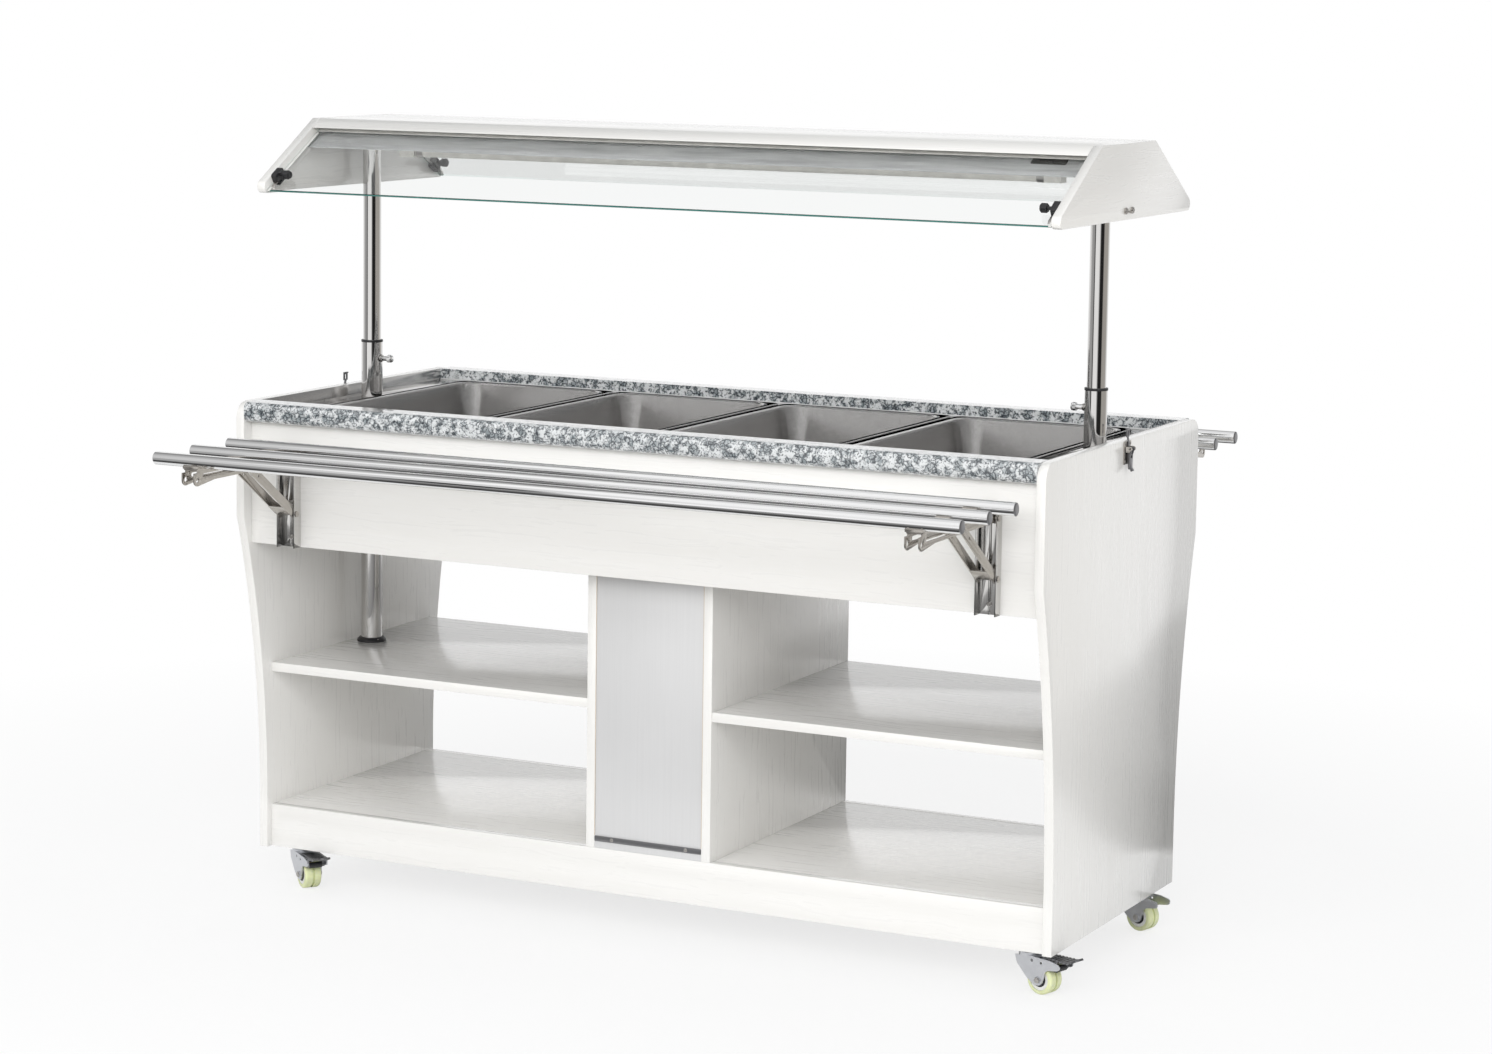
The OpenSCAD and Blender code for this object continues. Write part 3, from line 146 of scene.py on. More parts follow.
def make_wood_grain():
    """Embossed grain: long wavy lines along one direction, with paler and darker drifts."""
    group, given, out = new_group(
        "wood_grain",
        [("Place", "NodeSocketVector", None), ("Stretch", "NodeSocketVector", (6, 160, 160)),
         ("Pale", "NodeSocketColor", (0.86, 0.85, 0.82, 1)),
         ("Dark", "NodeSocketColor", (0.8, 0.79, 0.75, 1)),
         ("Roughness", "NodeSocketFloat", 0.5)], SURFACE)
    place = given.outputs["Place"]
    sway = add(group, "ShaderNodeTexNoise", {"Vector": place}, Scale=5.0, Detail=2.0)
    bent = vector_node(group, "MULTIPLY_ADD", sway.outputs["Color"], (0.03, 0.03, 0.03), place)
    pulled = vector_node(group, "MULTIPLY", bent, given.outputs["Stretch"])
    lines = add(group, "ShaderNodeTexNoise", {"Vector": pulled}, Scale=1.0, Detail=5.0, Roughness=0.6)
    drift = add(group, "ShaderNodeTexNoise", {"Vector": place}, Scale=3.5, Detail=3.0)
    ridge = math_node(group, "SMOOTH_MIN",
                      math_node(group, "MULTIPLY_ADD", lines.outputs[0], 2.6, -0.8), 1.0, 0.2)
    ridge = math_node(group, "MAXIMUM", ridge, 0.0)
    tone = math_node(group, "MULTIPLY_ADD", drift.outputs[0], 0.35,
                     math_node(group, "MULTIPLY", ridge, 0.75))
    group.links.new(blend_colour(group, tone, given.outputs["Dark"], given.outputs["Pale"]),
                    out.inputs["Color"])
    group.links.new(math_node(group, "MULTIPLY_ADD", ridge, -0.12,
                              math_node(group, "ADD", given.outputs["Roughness"], 0.06)),
                    out.inputs["Roughness"])
    group.links.new(ridge, out.inputs["Height"])
    return group


def make_brushed_lines():
    """Fine lines pulled along one direction, for brushed, ground and drawn metal."""
    group, given, out = new_group(
        "brushed_lines",
        [("Place", "NodeSocketVector", None), ("Stretch", "NodeSocketVector", (4, 900, 900)),
         ("Pale", "NodeSocketColor", (0.78, 0.78, 0.78, 1)),
         ("Dark", "NodeSocketColor", (0.6, 0.6, 0.6, 1)),
         ("Roughness", "NodeSocketFloat", 0.25), ("Spread", "NodeSocketFloat", 0.15)], SURFACE)
    place = given.outputs["Place"]
    pulled = vector_node(group, "MULTIPLY", place, given.outputs["Stretch"])
    fine = add(group, "ShaderNodeTexNoise", {"Vector": pulled}, Scale=1.0, Detail=4.0)
    smear = add(group, "ShaderNodeTexNoise", {"Vector": place}, Scale=9.0, Detail=4.0)
    tone = math_node(group, "MULTIPLY_ADD", smear.outputs[0], 0.5,
                     math_node(group, "MULTIPLY_ADD", fine.outputs[0], 1.0, -0.25))
    group.links.new(blend_colour(group, tone, given.outputs["Dark"], given.outputs["Pale"]),
                    out.inputs["Color"])
    group.links.new(math_node(group, "MULTIPLY_ADD", math_node(group, "SUBTRACT", tone, 0.5),
                              given.outputs["Spread"], given.outputs["Roughness"]),
                    out.inputs["Roughness"])
    group.links.new(fine.outputs[0], out.inputs["Height"])
    return group


def make_granite_mottle():
    """Pale grey ground, blue-grey clouds, dark cracks between crystals and dark flecks."""
    group, given, out = new_group(
        "granite_mottle",
        [("Place", "NodeSocketVector", None), ("Grain", "NodeSocketFloat", 1.0),
         ("Ground", "NodeSocketColor", (0.70, 0.72, 0.73, 1)),
         ("Cloud", "NodeSocketColor", (0.20, 0.235, 0.25, 1)),
         ("Fleck", "NodeSocketColor", (0.04, 0.05, 0.06, 1))], SURFACE)
    at = add(group, "ShaderNodeVectorMath", {0: given.outputs["Place"], "Scale": given.outputs["Grain"]},
             operation="SCALE").outputs[0]
    warp = add(group, "ShaderNodeTexNoise", {"Vector": at}, Scale=90.0, Detail=3.0)
    moved = vector_node(group, "MULTIPLY_ADD", warp.outputs["Color"], (0.009, 0.009, 0.009), at)
    crystal = add(group, "ShaderNodeTexVoronoi", {"Vector": moved}, Scale=210.0)
    seam = add(group, "ShaderNodeTexVoronoi", {"Vector": moved}, feature="DISTANCE_TO_EDGE", Scale=130.0)
    cloud = add(group, "ShaderNodeTexNoise", {"Vector": at}, Scale=75.0, Detail=5.0, Roughness=0.65)
    spots = add(group, "ShaderNodeTexNoise", {"Vector": at}, Scale=280.0, Detail=3.0)
    shade = ramp(group, crystal.outputs["Color"], [(0.1, 0.0), (0.55, 0.55), (0.9, 1.0)])
    body = blend_colour(group, ramp(group, cloud.outputs[0], [(0.46, 0.0), (0.53, 1.0)]),
                        given.outputs["Ground"], given.outputs["Cloud"])
    body = blend_colour(group, math_node(group, "MULTIPLY", shade, 0.45), body, (0.8, 0.82, 0.84))
    dark = math_node(group, "MULTIPLY",
                     ramp(group, seam.outputs["Distance"], [(0.03, 1.0), (0.14, 0.0)]),
                     ramp(group, cloud.outputs[0], [(0.40, 0.0), (0.52, 1.0)]))
    dark = math_node(group, "MAXIMUM", dark, ramp(group, spots.outputs[0], [(0.58, 0.0), (0.62, 0.9)]))
    group.links.new(blend_colour(group, dark, body, given.outputs["Fleck"]), out.inputs["Color"])
    group.links.new(math_node(group, "MULTIPLY_ADD", dark, 0.12, 0.1), out.inputs["Roughness"])
    group.links.new(spots.outputs[0], out.inputs["Height"])
    return group


def make_moulded_skin():
    """Spark-eroded mould texture with slight unevenness of colour, for plastics and rubber."""
    group, given, out = new_group(
        "moulded_skin",
        [("Place", "NodeSocketVector", None), ("Grain", "NodeSocketFloat", 1400.0),
         ("Color", "NodeSocketColor", (0.03, 0.03, 0.03, 1)), ("Roughness", "NodeSocketFloat", 0.45)],
        SURFACE)
    place = given.outputs["Place"]
    fine = add(group, "ShaderNodeTexNoise", {"Vector": place, "Scale": given.outputs["Grain"]}, Detail=2.0)
    drift = add(group, "ShaderNodeTexNoise", {"Vector": place}, Scale=35.0, Detail=4.0)
    lift = add(group, "ShaderNodeHueSaturation", {"Color": given.outputs["Color"]})
    group.links.new(math_node(group, "MULTIPLY_ADD", drift.outputs[0], 0.5, 0.75), lift.inputs["Value"])
    group.links.new(lift.outputs[0], out.inputs["Color"])
    group.links.new(math_node(group, "MULTIPLY_ADD", drift.outputs[0], 0.2,
                              math_node(group, "SUBTRACT", given.outputs["Roughness"], 0.1)),
                    out.inputs["Roughness"])
    group.links.new(fine.outputs[0], out.inputs["Height"])
    return group


WOOD_GRAIN = make_wood_grain()
BRUSHED_LINES = make_brushed_lines()
GRANITE_MOTTLE = make_granite_mottle()
MOULDED_SKIN = make_moulded_skin()


def finish(name, group, bump=0.0, bump_depth=0.0002, constants=None, **values):
    """A material whose colour, roughness and bump come from a group; its other figures are constants."""
    material = bpy.data.materials.new(name)
    material.use_nodes = True
    tree = material.node_tree
    shader = tree.nodes["Principled BSDF"]
    where = tree.nodes.new("ShaderNodeTexCoord")
    effect = tree.nodes.new("ShaderNodeGroup")
    effect.node_tree = group
    tree.links.new(where.outputs["Object"], effect.inputs["Place"])
    for label, value in values.items():
        if isinstance(value, tuple) and group.interface.items_tree[label].socket_type == "NodeSocketColor":
            value = (*value, 1)
        effect.inputs[label].default_value = value
    tree.links.new(effect.outputs["Color"], shader.inputs["Base Color"])
    tree.links.new(effect.outputs["Roughness"], shader.inputs["Roughness"])
    if bump:
        relief = tree.nodes.new("ShaderNodeBump")
        relief.inputs["Strength"].default_value = bump
        relief.inputs["Distance"].default_value = bump_depth
        tree.links.new(effect.outputs["Height"], relief.inputs["Height"])
        tree.links.new(relief.outputs[0], shader.inputs["Normal"])
    for label, value in (constants or {}).items():
        shader.inputs[label].default_value = value
    return material


def laminate(name, stretch, pale=(0.872, 0.864, 0.845), dark=(0.84, 0.83, 0.805), bump=0.022, gloss=1.0):
    """Lacquered board whose grain runs along the axis with the small stretch."""
    return finish(name, WOOD_GRAIN, bump, 0.0003, Stretch=stretch, Pale=pale, Dark=dark, Roughness=0.3,
                  constants={"Coat Weight": gloss, "Coat Roughness": 0.17, "Coat IOR": 1.6})


def metal(name, stretch, pale, dark, roughness, spread, bump=0.0, metallic=1.0):
    """Metal whose fine lines run along the axis with the small stretch."""
    return finish(name, BRUSHED_LINES, bump, 0.00002, Stretch=stretch, Pale=pale, Dark=dark,
                  Roughness=roughness, Spread=spread, constants={"Metallic": metallic})


def moulding(name, colour, roughness, bump, bump_depth, grain=1400.0, constants=None):
    """Plastic, glass or sealant with a fine skin and one colour."""
    return finish(name, MOULDED_SKIN, bump, bump_depth, constants, Grain=grain, Color=colour,
                  Roughness=roughness)


board_along = laminate("laminate_grain_along", (4.0, 150.0, 150.0))
board_across = laminate("laminate_grain_across", (150.0, 4.0, 150.0))
board_upright = laminate("laminate_grain_upright", (150.0, 150.0, 4.0))
# The white laminate again, for the canopy's inner fascia: its grey ground is painted shade under the top
# board, and its strong pale streaks are grain with painted sheen
painted_shade_board = laminate("painted_shade_canopy_laminate", (5.0, 75.0, 75.0), (0.76, 0.765, 0.77),
                      (0.38, 0.385, 0.39), 0.3, 0.1)
edge_band = laminate("edge_banding", (60.0, 60.0, 4.0), (0.70, 0.60, 0.50), (0.58, 0.48, 0.38))
granite = finish("polished_granite", GRANITE_MOTTLE, 0.08, 0.0001,
                 {"Coat Weight": 1.0, "Coat Roughness": 0.02, "Coat IOR": 1.9})

channel_steel = metal("channel_steel", (400.0, 400.0, 6.0), (0.74, 0.73, 0.715), (0.60, 0.59, 0.575),
                      0.12, 0.06)
# Copy of the pan steel for the rolled rim: its lower roughness is a smoother finish, and its brighter colour
# is a painted highlight along the rims
rim_steel_painted_highlight = metal("smooth_rim_steel_painted_highlight", (60.0, 60.0, 60.0), (0.92, 0.915, 0.91), (0.84, 0.835, 0.83),
                  0.07, 0.03)
deck_steel = metal("deck_steel", (6.0, 700.0, 700.0), (0.70, 0.69, 0.68), (0.54, 0.53, 0.52),
                   0.17, 0.1, bump=0.05)
pan_steel = metal("pan_steel", (120.0, 6.0, 120.0), (0.82, 0.81, 0.80), (0.75, 0.74, 0.73), 0.2, 0.05)
tube_steel = metal("drawn_tube_steel", (3.0, 900.0, 900.0), (0.93, 0.93, 0.93), (0.84, 0.84, 0.845),
                   0.07, 0.03)
post_steel = metal("polished_post_steel", (900.0, 900.0, 3.0), (0.80, 0.79, 0.78), (0.62, 0.61, 0.60),
                   0.06, 0.04)
satin_nickel = metal("satin_nickel", (90.0, 90.0, 90.0), (0.56, 0.53, 0.495), (0.46, 0.435, 0.40),
                     0.25, 0.08, bump=0.05)
zinc_plate = metal("zinc_plate", (60.0, 60.0, 60.0), (0.72, 0.73, 0.76), (0.6, 0.61, 0.64), 0.3, 0.1)
service_grey = metal("service_panel_grey", (500.0, 500.0, 6.0), (0.72, 0.72, 0.725),
                     (0.67, 0.67, 0.675), 0.36, 0.06, metallic=0.2)
dark_steel = metal("dark_zinc_plate", (60.0, 60.0, 60.0), (0.30, 0.30, 0.31), (0.16, 0.16, 0.17),
                   0.32, 0.15)
strip_steel = metal("dark_trim_steel", (5.0, 400.0, 400.0), (0.36, 0.36, 0.37), (0.22, 0.22, 0.23),
                    0.35, 0.1)
screw_steel = metal("screw_steel", (400.0, 400.0, 400.0), (0.62, 0.6, 0.58), (0.4, 0.38, 0.36), 0.3, 0.15)
brass = metal("turned_brass", (300.0, 300.0, 40.0), (0.78, 0.6, 0.32), (0.55, 0.4, 0.18), 0.3, 0.15)

ground_edge = moulding("ground_glass_edge", (0.05, 0.19, 0.165), 0.25, 0.03, 0.00002, 900.0)
black_plastic = moulding("black_moulding", (0.022, 0.022, 0.024), 0.42, 0.15, 0.00006)
black_plate = moulding("gloss_black_plate", (0.012, 0.012, 0.013), 0.25, 0.02, 0.00002, 300.0)
red_plastic = moulding("red_moulding", (0.55, 0.03, 0.02), 0.32, 0.05, 0.00004, 500.0)
nylon = moulding("cast_nylon", (0.72, 0.76, 0.46), 0.42, 0.06, 0.00005, 420.0,
                 {"Subsurface Weight": 0.25, "Subsurface Radius": (0.006, 0.005, 0.003)})
seal_white = moulding("glazing_strip", (0.72, 0.72, 0.70), 0.4, 0.05, 0.00004, 300.0)
silicone = moulding("clear_sealant", (0.6, 0.6, 0.6), 0.3, 0.1, 0.0001, 200.0)
lamp_tube = moulding("frosted_lamp_glass", (0.86, 0.85, 0.80), 0.25, 0.03, 0.00003, 300.0)


def make_glass():
    """Clear pane with a green body tint that shows at its edges."""
    material = bpy.data.materials.new("clear_glass")
    material.use_nodes = True
    tree = material.node_tree
    shader = tree.nodes["Principled BSDF"]
    shader.inputs["Transmission Weight"].default_value = 1.0
    shader.inputs["IOR"].default_value = 1.45
    where = tree.nodes.new("ShaderNodeTexCoord")
    smear = add(tree, "ShaderNodeTexNoise", {"Vector": where.outputs["Object"]}, Scale=4.0, Detail=4.0)
    tree.links.new(math_node(tree, "MULTIPLY", smear.outputs[0], 0.02), shader.inputs["Roughness"])
    facing = tree.nodes.new("ShaderNodeNewGeometry")
    split = add(tree, "ShaderNodeSeparateXYZ", {0: facing.outputs["Normal"]})
    # 1 on the pane's two large faces, whose normals lie square to the slope, and less on its edges
    level = math_node(tree, "MULTIPLY_ADD", math_node(tree, "ABSOLUTE", split.outputs["Z"]), math.cos(SLOPE),
                      math_node(tree, "MULTIPLY", math_node(tree, "ABSOLUTE", split.outputs["Y"]),
                                math.sin(SLOPE)))
    rim = math_node(tree, "LESS_THAN", level, 0.93)
    tree.links.new(blend_colour(tree, rim, (0.985, 0.995, 0.99), (0.16, 0.6, 0.5)),
                   shader.inputs["Base Color"])
    return material


glass = make_glass()


# Finish and soft edges of the solids

def edge_softener():
    """Geometry group that joins split corners and shades round faces smooth."""
    group = bpy.data.node_groups.new("smooth_round_faces", "GeometryNodeTree")
    group.interface.new_socket("Geometry", in_out="INPUT", socket_type="NodeSocketGeometry")
    group.interface.new_socket("Geometry", in_out="OUTPUT", socket_type="NodeSocketGeometry")
    given, out = group.nodes.new("NodeGroupInput"), group.nodes.new("NodeGroupOutput")
    plain = group.nodes.new("GeometryNodeRemoveAttribute")
    plain.inputs["Name"].default_value = "custom_normal"
    joined = add(group, "GeometryNodeMergeByDistance", Distance=WELD_GAP)
    faces = group.nodes.new("GeometryNodeSetShadeSmooth")
    edges = group.nodes.new("GeometryNodeSetShadeSmooth")
    edges.domain = "EDGE"
    bend = group.nodes.new("GeometryNodeInputMeshEdgeAngle")
    sharp = group.nodes.new("FunctionNodeCompare")
    sharp.data_type, sharp.operation = "FLOAT", "GREATER_THAN"
    sharp.inputs["B"].default_value = math.radians(30.5)
    group.links.new(bend.outputs["Unsigned Angle"], sharp.inputs["A"])
    group.links.new(given.outputs[0], plain.inputs["Geometry"])
    group.links.new(plain.outputs[0], joined.inputs["Geometry"])
    group.links.new(joined.outputs[0], faces.inputs["Geometry"])
    group.links.new(faces.outputs[0], edges.inputs["Geometry"])
    group.links.new(sharp.outputs[0], edges.inputs["Selection"])
    edges.inputs["Shade Smooth"].default_value = False
    group.links.new(edges.outputs[0], out.inputs[0])
    return group


SMOOTH_ROUND_FACES = edge_softener()


def soften(piece, width):
    """Smooth shading, and a small rounding along the sharp edges where a width in millimetres is given."""
    if width:
        weld = piece.modifiers.new("weld", "WELD")
        weld.merge_threshold = WELD_GAP
        flat = piece.modifiers.new("flat_faces", "DECIMATE")
        flat.decimate_type, flat.angle_limit = "DISSOLVE", math.radians(0.2)
        rounding = piece.modifiers.new("rounding", "BEVEL")
        rounding.width, rounding.segments = width * MM, 2
        rounding.limit_method, rounding.angle_limit = "ANGLE", math.radians(40)
        rounding.use_clamp_overlap = True
    shade = piece.modifiers.new("smooth", "NODES")
    shade.node_group = SMOOTH_ROUND_FACES


def dress(material, *names, width=0.0):
    """Gives CAD solids their finish and soft edges."""
    for name in names:
        solid = solids[name]
        solid.data.materials.clear()
        solid.data.materials.append(material)
        soften(solid, width)


CORNERS = ["front_left", "front_right", "back_left", "back_right"]
dress(board_upright, "end_panel_left", "end_panel_right", "dividers", width=0.8)
dress(board_along, "aprons", "plinths", "mid_shelves", "floor_boards", "canopy_top_board", width=0.8)
dress(board_across, "canopy_ends", width=1.2)
dress(granite, "stone_rails")
dress(deck_steel, "well_deck", "water_tank", width=0.3)
dress(service_grey, "service_panels", width=0.3)
dress(post_steel, "outer_posts", "inner_posts")
dress(tube_steel, "front_tray_tubes", "back_tray_tubes", "lock_plunger_left", "lock_plunger_right",
      width=0.4)
dress(channel_steel, "wall_channels", width=0.25)
dress(satin_nickel, "front_tray_arms", "back_tray_arms", "front_braces", "back_braces",
      "latch_bases", "latch_keepers", width=0.25)
dress(dark_steel, "latch_lever_left", "latch_lever_right", "latch_hook_left", "latch_hook_right",
      width=0.25)
dress(zinc_plate, "caster_plates", "heating_element", *[f"caster_fork_{c}" for c in CORNERS], width=0.3)
dress(nylon, *[f"caster_wheel_{c}" for c in CORNERS])
# The lamp housing's fascia takes the grey laminate with painted shade and painted sheen on its grain
dress(painted_shade_board, "lamp_housing")
dress(lamp_tube, "lamp")
dress(glass, "glass_panes")
dress(brass, "drain_valve", width=0.5)
dress(red_plastic, "drain_handle", "power_switch", width=0.5)
dress(black_plastic, "post_fittings", "glass_clamps", "thermostat_knob", "cable_gland",
      *[f"glass_knob_{c}" for c in CORNERS], width=0.4)
dress(dark_steel, "brake_pedal_front_left", "brake_pedal_front_right", width=0.4)


# Pieces in mesh code

def keep(name, shape, body, material, place=None, bend=32):
    """Turns a bmesh into a piece that rides on a body."""
    mesh = bpy.data.meshes.new(name)
    bmesh.ops.recalc_face_normals(shape, faces=shape.faces)
    shape.to_mesh(mesh)
    shape.free()
    mesh.materials.append(material)
    mesh.polygons.foreach_set("use_smooth", [True] * len(mesh.polygons))
    mesh.set_sharp_from_angle(angle=math.radians(bend))
    piece = bpy.data.objects.new(name, mesh)
    bpy.context.collection.objects.link(piece)
    if place is not None:
        piece.matrix_world = place
    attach(piece, body)
    return piece


def standing(at, out):
    """Place in millimetres whose local Z points along a direction."""
    z = Vector(out).normalized()
    x = Vector((0, 0, 1)) if abs(z.z) < 0.9 else Vector((1, 0, 0))
    x = (x - z * x.dot(z)).normalized()
    y = z.cross(x)
    turn = Matrix((x, y, z)).transposed().to_4x4()
    return Matrix.Translation(Vector(at) * MM) @ turn


def lathe(profile, sides=32):
    """Round form from (radius, height) points in millimetres, closed where a radius is 0."""
    shape = bmesh.new()
    rings = []
    for r, z in profile:
        if r <= 1e-6:
            rings.append([shape.verts.new((0, 0, z * MM))])
        else:
            rings.append([shape.verts.new((r * MM * math.cos(2 * math.pi * i / sides),
                                           r * MM * math.sin(2 * math.pi * i / sides), z * MM))
                          for i in range(sides)])
    for a, b in zip(rings, rings[1:]):
        for i in range(sides):
            j = (i + 1) % sides
            corners = [a[i % len(a)], a[j % len(a)], b[j % len(b)], b[i % len(b)]]
            corners = list(dict.fromkeys(corners))
            if len(corners) > 2:
                shape.faces.new(corners)
    return shape


def slab(outline, low, high, edge=0.0):
    """Plate from a flat outline in millimetres, with its rims rounded by edge."""
    shape = bmesh.new()
    foot = [shape.verts.new((x * MM, y * MM, low * MM)) for x, y in outline]
    head = [shape.verts.new((x * MM, y * MM, high * MM)) for x, y in outline]
    shape.faces.new(foot[::-1])
    shape.faces.new(head)
    count = len(outline)
    for i in range(count):
        j = (i + 1) % count
        shape.faces.new((foot[i], foot[j], head[j], head[i]))
    if edge:
        rims = [e for e in shape.edges if abs(e.verts[0].co.z - e.verts[1].co.z) < 1e-9]
        bmesh.ops.bevel(shape, geom=rims, offset=edge * MM, segments=2, affect="EDGES", profile=0.5)
    return shape


def loft(rings):
    """Open skin over rings of the same number of points in millimetres; returns it and its rows."""
    shape = bmesh.new()
    rows = [[shape.verts.new(Vector(p) * MM) for p in ring] for ring in rings]
    count = len(rows[0])
    for a, b in zip(rows, rows[1:]):
        for i in range(count):
            j = (i + 1) % count
            shape.faces.new((a[i], a[j], b[j], b[i]))
    return shape, rows


def rounded_outline(w, h, r, steps=6):
    """Points round a rectangle with round corners, about its middle."""
    points = []
    for cx, cy, start in ((w / 2 - r, h / 2 - r, 0), (-w / 2 + r, h / 2 - r, 90),
                          (-w / 2 + r, -h / 2 + r, 180), (w / 2 - r, -h / 2 + r, 270)):
        for i in range(steps + 1):
            a = math.radians(start + 90 * i / steps)
            points.append((cx + r * math.cos(a), cy + r * math.sin(a)))
    return points


def screw_head(radius, height):
    """Domed head with a cross recess."""
    shape = bmesh.new()
    rings, sides = 9, 40
    grid = []
    arm, reach = 0.17 * radius, 0.62 * radius
    for k in range(rings + 1):
        r = radius * k / rings
        row = []
        for i in range(sides if k else 1):
            a = 2 * math.pi * i / sides
            x, y = r * math.cos(a), r * math.sin(a)
            z = height * math.sqrt(max(0.0, 1 - (r / radius) ** 2 * 0.85)) if k < rings else 0.0
            in_cross = (abs(x) < arm and abs(y) < reach) or (abs(y) < arm and abs(x) < reach)
            if in_cross:
                z -= 0.5 * height * (1 - 0.6 * r / reach)
            row.append(shape.verts.new((x * MM, y * MM, z * MM)))
        grid.append(row)
    for k in range(rings):
        inner, outer = grid[k], grid[k + 1]
        for i in range(sides):
            j = (i + 1) % sides
            corners = [inner[i % len(inner)], outer[i], outer[j], inner[j % len(inner)]]
            shape.faces.new(list(dict.fromkeys(corners)))
    shape.faces.new(grid[-1][::-1])
    return shape


def screw(name, at, out, body, radius, height):
    """Screw head on a body, standing out from a point."""
    return keep(name, screw_head(radius, height), body, screw_steel, standing(at, out), 50)


# Gastronorm pans

PAN_HALF_W, PAN_HALF_L, PAN_DEPTH, PAN_FLOOR_R = 162.5, 265.0, 100, 18.0
# The rim from its outer lip to the wall: inset from the pan's outline, corner radius, drop below the top
PAN_RIM = [(0.9, 13.2, 4.4), (0.1, 14.0, 4.4), (0.1, 14.0, 1.6), (0.5, 13.6, 0.5), (1.6, 12.8, 0.05),
           (2.0, 13.5, 0.05), (9.2, 35.5, 0.05), (9.6, 36.0, 0.07), (11.4, 39.0, 0.6), (13.0, 41.0, 2.2),
           (13.6, 41.0, 5.0)]
PAN_SHOULDER, PAN_WALL_TOP, PAN_WALL_FOOT, PAN_DRAFT = 5, 13.6, 25.1, 11.5
PAN_CORNER_TOP, PAN_CORNER_FOOT, PAN_CORNER_LEAST = 41.0, 32, 12.0
# Depth below the rim's top to which the rim takes the brighter steel with its painted highlight
RIM_HIGHLIGHT_DROP = 2.6


def pan_ring(inset, radius, z):
    """Points round the pan at one height."""
    outline = rounded_outline(2 * (PAN_HALF_W - inset), 2 * (PAN_HALF_L - inset), radius, 10)
    return [(x, y, z) for x, y in outline]


def make_pan(number):
    """Pressed pan: rolled rim, stepped shoulder, drawn sides and a floor with a soft corner."""
    rings = [pan_ring(inset, radius, RIM_Z - drop) for inset, radius, drop in PAN_RIM]
    for k in range(1, 9):
        share = k / 8
        rings.append(pan_ring(PAN_WALL_TOP + PAN_DRAFT * share,
                              PAN_CORNER_TOP - (PAN_CORNER_TOP - PAN_CORNER_FOOT) * share,
                              RIM_Z - PAN_SHOULDER - (PAN_DEPTH - PAN_SHOULDER - PAN_FLOOR_R) * share))
    for k in range(1, 9):
        a = math.radians(90 * k / 8)
        turned = PAN_FLOOR_R * (1 - math.cos(a))
        rings.append(pan_ring(PAN_WALL_FOOT + turned, max(PAN_CORNER_FOOT - turned, PAN_CORNER_LEAST),
                              RIM_Z - PAN_DEPTH + PAN_FLOOR_R * (1 - math.sin(a))))
    shape, rows = loft(rings)
    shape.faces.new(rows[-1])
    bmesh.ops.solidify(shape, geom=shape.faces[:], thickness=0.8 * MM)
    piece = keep(f"pressed_pan_{number}", shape, f"gn_pan_{number}", pan_steel,
                 Matrix.Translation(((number - 2.5) * PAN_PITCH * MM, 0, 0)), 40)
    # Faces near the top of the rim take the brighter steel, a painted highlight along each rim
    piece.data.materials.append(rim_steel_painted_highlight)
    for face in piece.data.polygons:
        if face.center.z > (RIM_Z - RIM_HIGHLIGHT_DROP) * MM:
            face.material_index = 1
    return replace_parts(piece, f"gn_pan_{number}")


for number in (1, 2, 3, 4):
    make_pan(number)


# Canopy fittings

def on_slope(side, along, off):
    """Y and Z of a point up the canopy's slope and off it; side is -1 in front and 1 at the back."""
    y = -CANOPY_FOOT + along * math.cos(SLOPE) - off * math.sin(SLOPE)
    z = CANOPY_BEND_Z + along * math.sin(SLOPE) + off * math.cos(SLOPE)
    return -side * y, z


def slope_place(side, x, along, off):
    """Place on the slope: local X along the length, local Y up the slope, local Z outwards."""
    y, z = on_slope(side, along, off)
    lean = Vector((0, -side * math.cos(SLOPE), math.sin(SLOPE)))
    out = Vector((0, side * math.sin(SLOPE), math.cos(SLOPE)))
    turn = Matrix((lean.cross(out), lean, out)).transposed().to_4x4()
    return Matrix.Translation(Vector((x, y, z)) * MM) @ turn


BADGE_ALONG = (1324.5 - CANOPY_BEND_Z + 21 * math.cos(SLOPE)) / math.sin(SLOPE)
PANE_TOP = (1334 - CANOPY_BEND_Z + 15 * math.cos(SLOPE)) / math.sin(SLOPE)
CLAMP_TAB = [(0, 0), (0.8, 0), (0.8, -11), (4.0, -17), (3.3, -17.4), (0, -11.4)]

keep("blank_badge", slab(rounded_outline(61, 20, 2.0), 0, 1.2, 0.3), "canopy", black_plate,
     slope_place(-1, 655.5, BADGE_ALONG, -22.9))
for side, label in SIDES:
    keep(f"glazing_strip_{label}_top", slab(rounded_outline(1448, 9, 0.8), 0, 1.0, 0.3), "canopy",
         seal_white, slope_place(side, 0, PANE_TOP - 5.5, PANE_OFF))
    keep(f"pane_arris_{label}", slab(rounded_outline(1440, 3.4, 0.5), 0, 0.3, 0.1), "canopy", ground_edge,
         slope_place(side, 0, -2.4, -14.98))
    for end, word in ENDS:
        keep(f"glazing_strip_{label}_{word}", slab(rounded_outline(5, PANE_TOP - 11, 0.8), 0, 1.0, 0.3),
             "canopy", seal_white,
             slope_place(side, end * 722.3, (PANE_TOP - 11) / 2 - 3.5, PANE_OFF))
        keep(f"clamp_tab_{label}_{word}", slab(CLAMP_TAB, -3.5, 3.5, 0.15), "canopy", screw_steel,
             slope_place(side, end * 719.0, 22, -12.5) @ Matrix.Rotation(QUARTER, 4, "Y"))

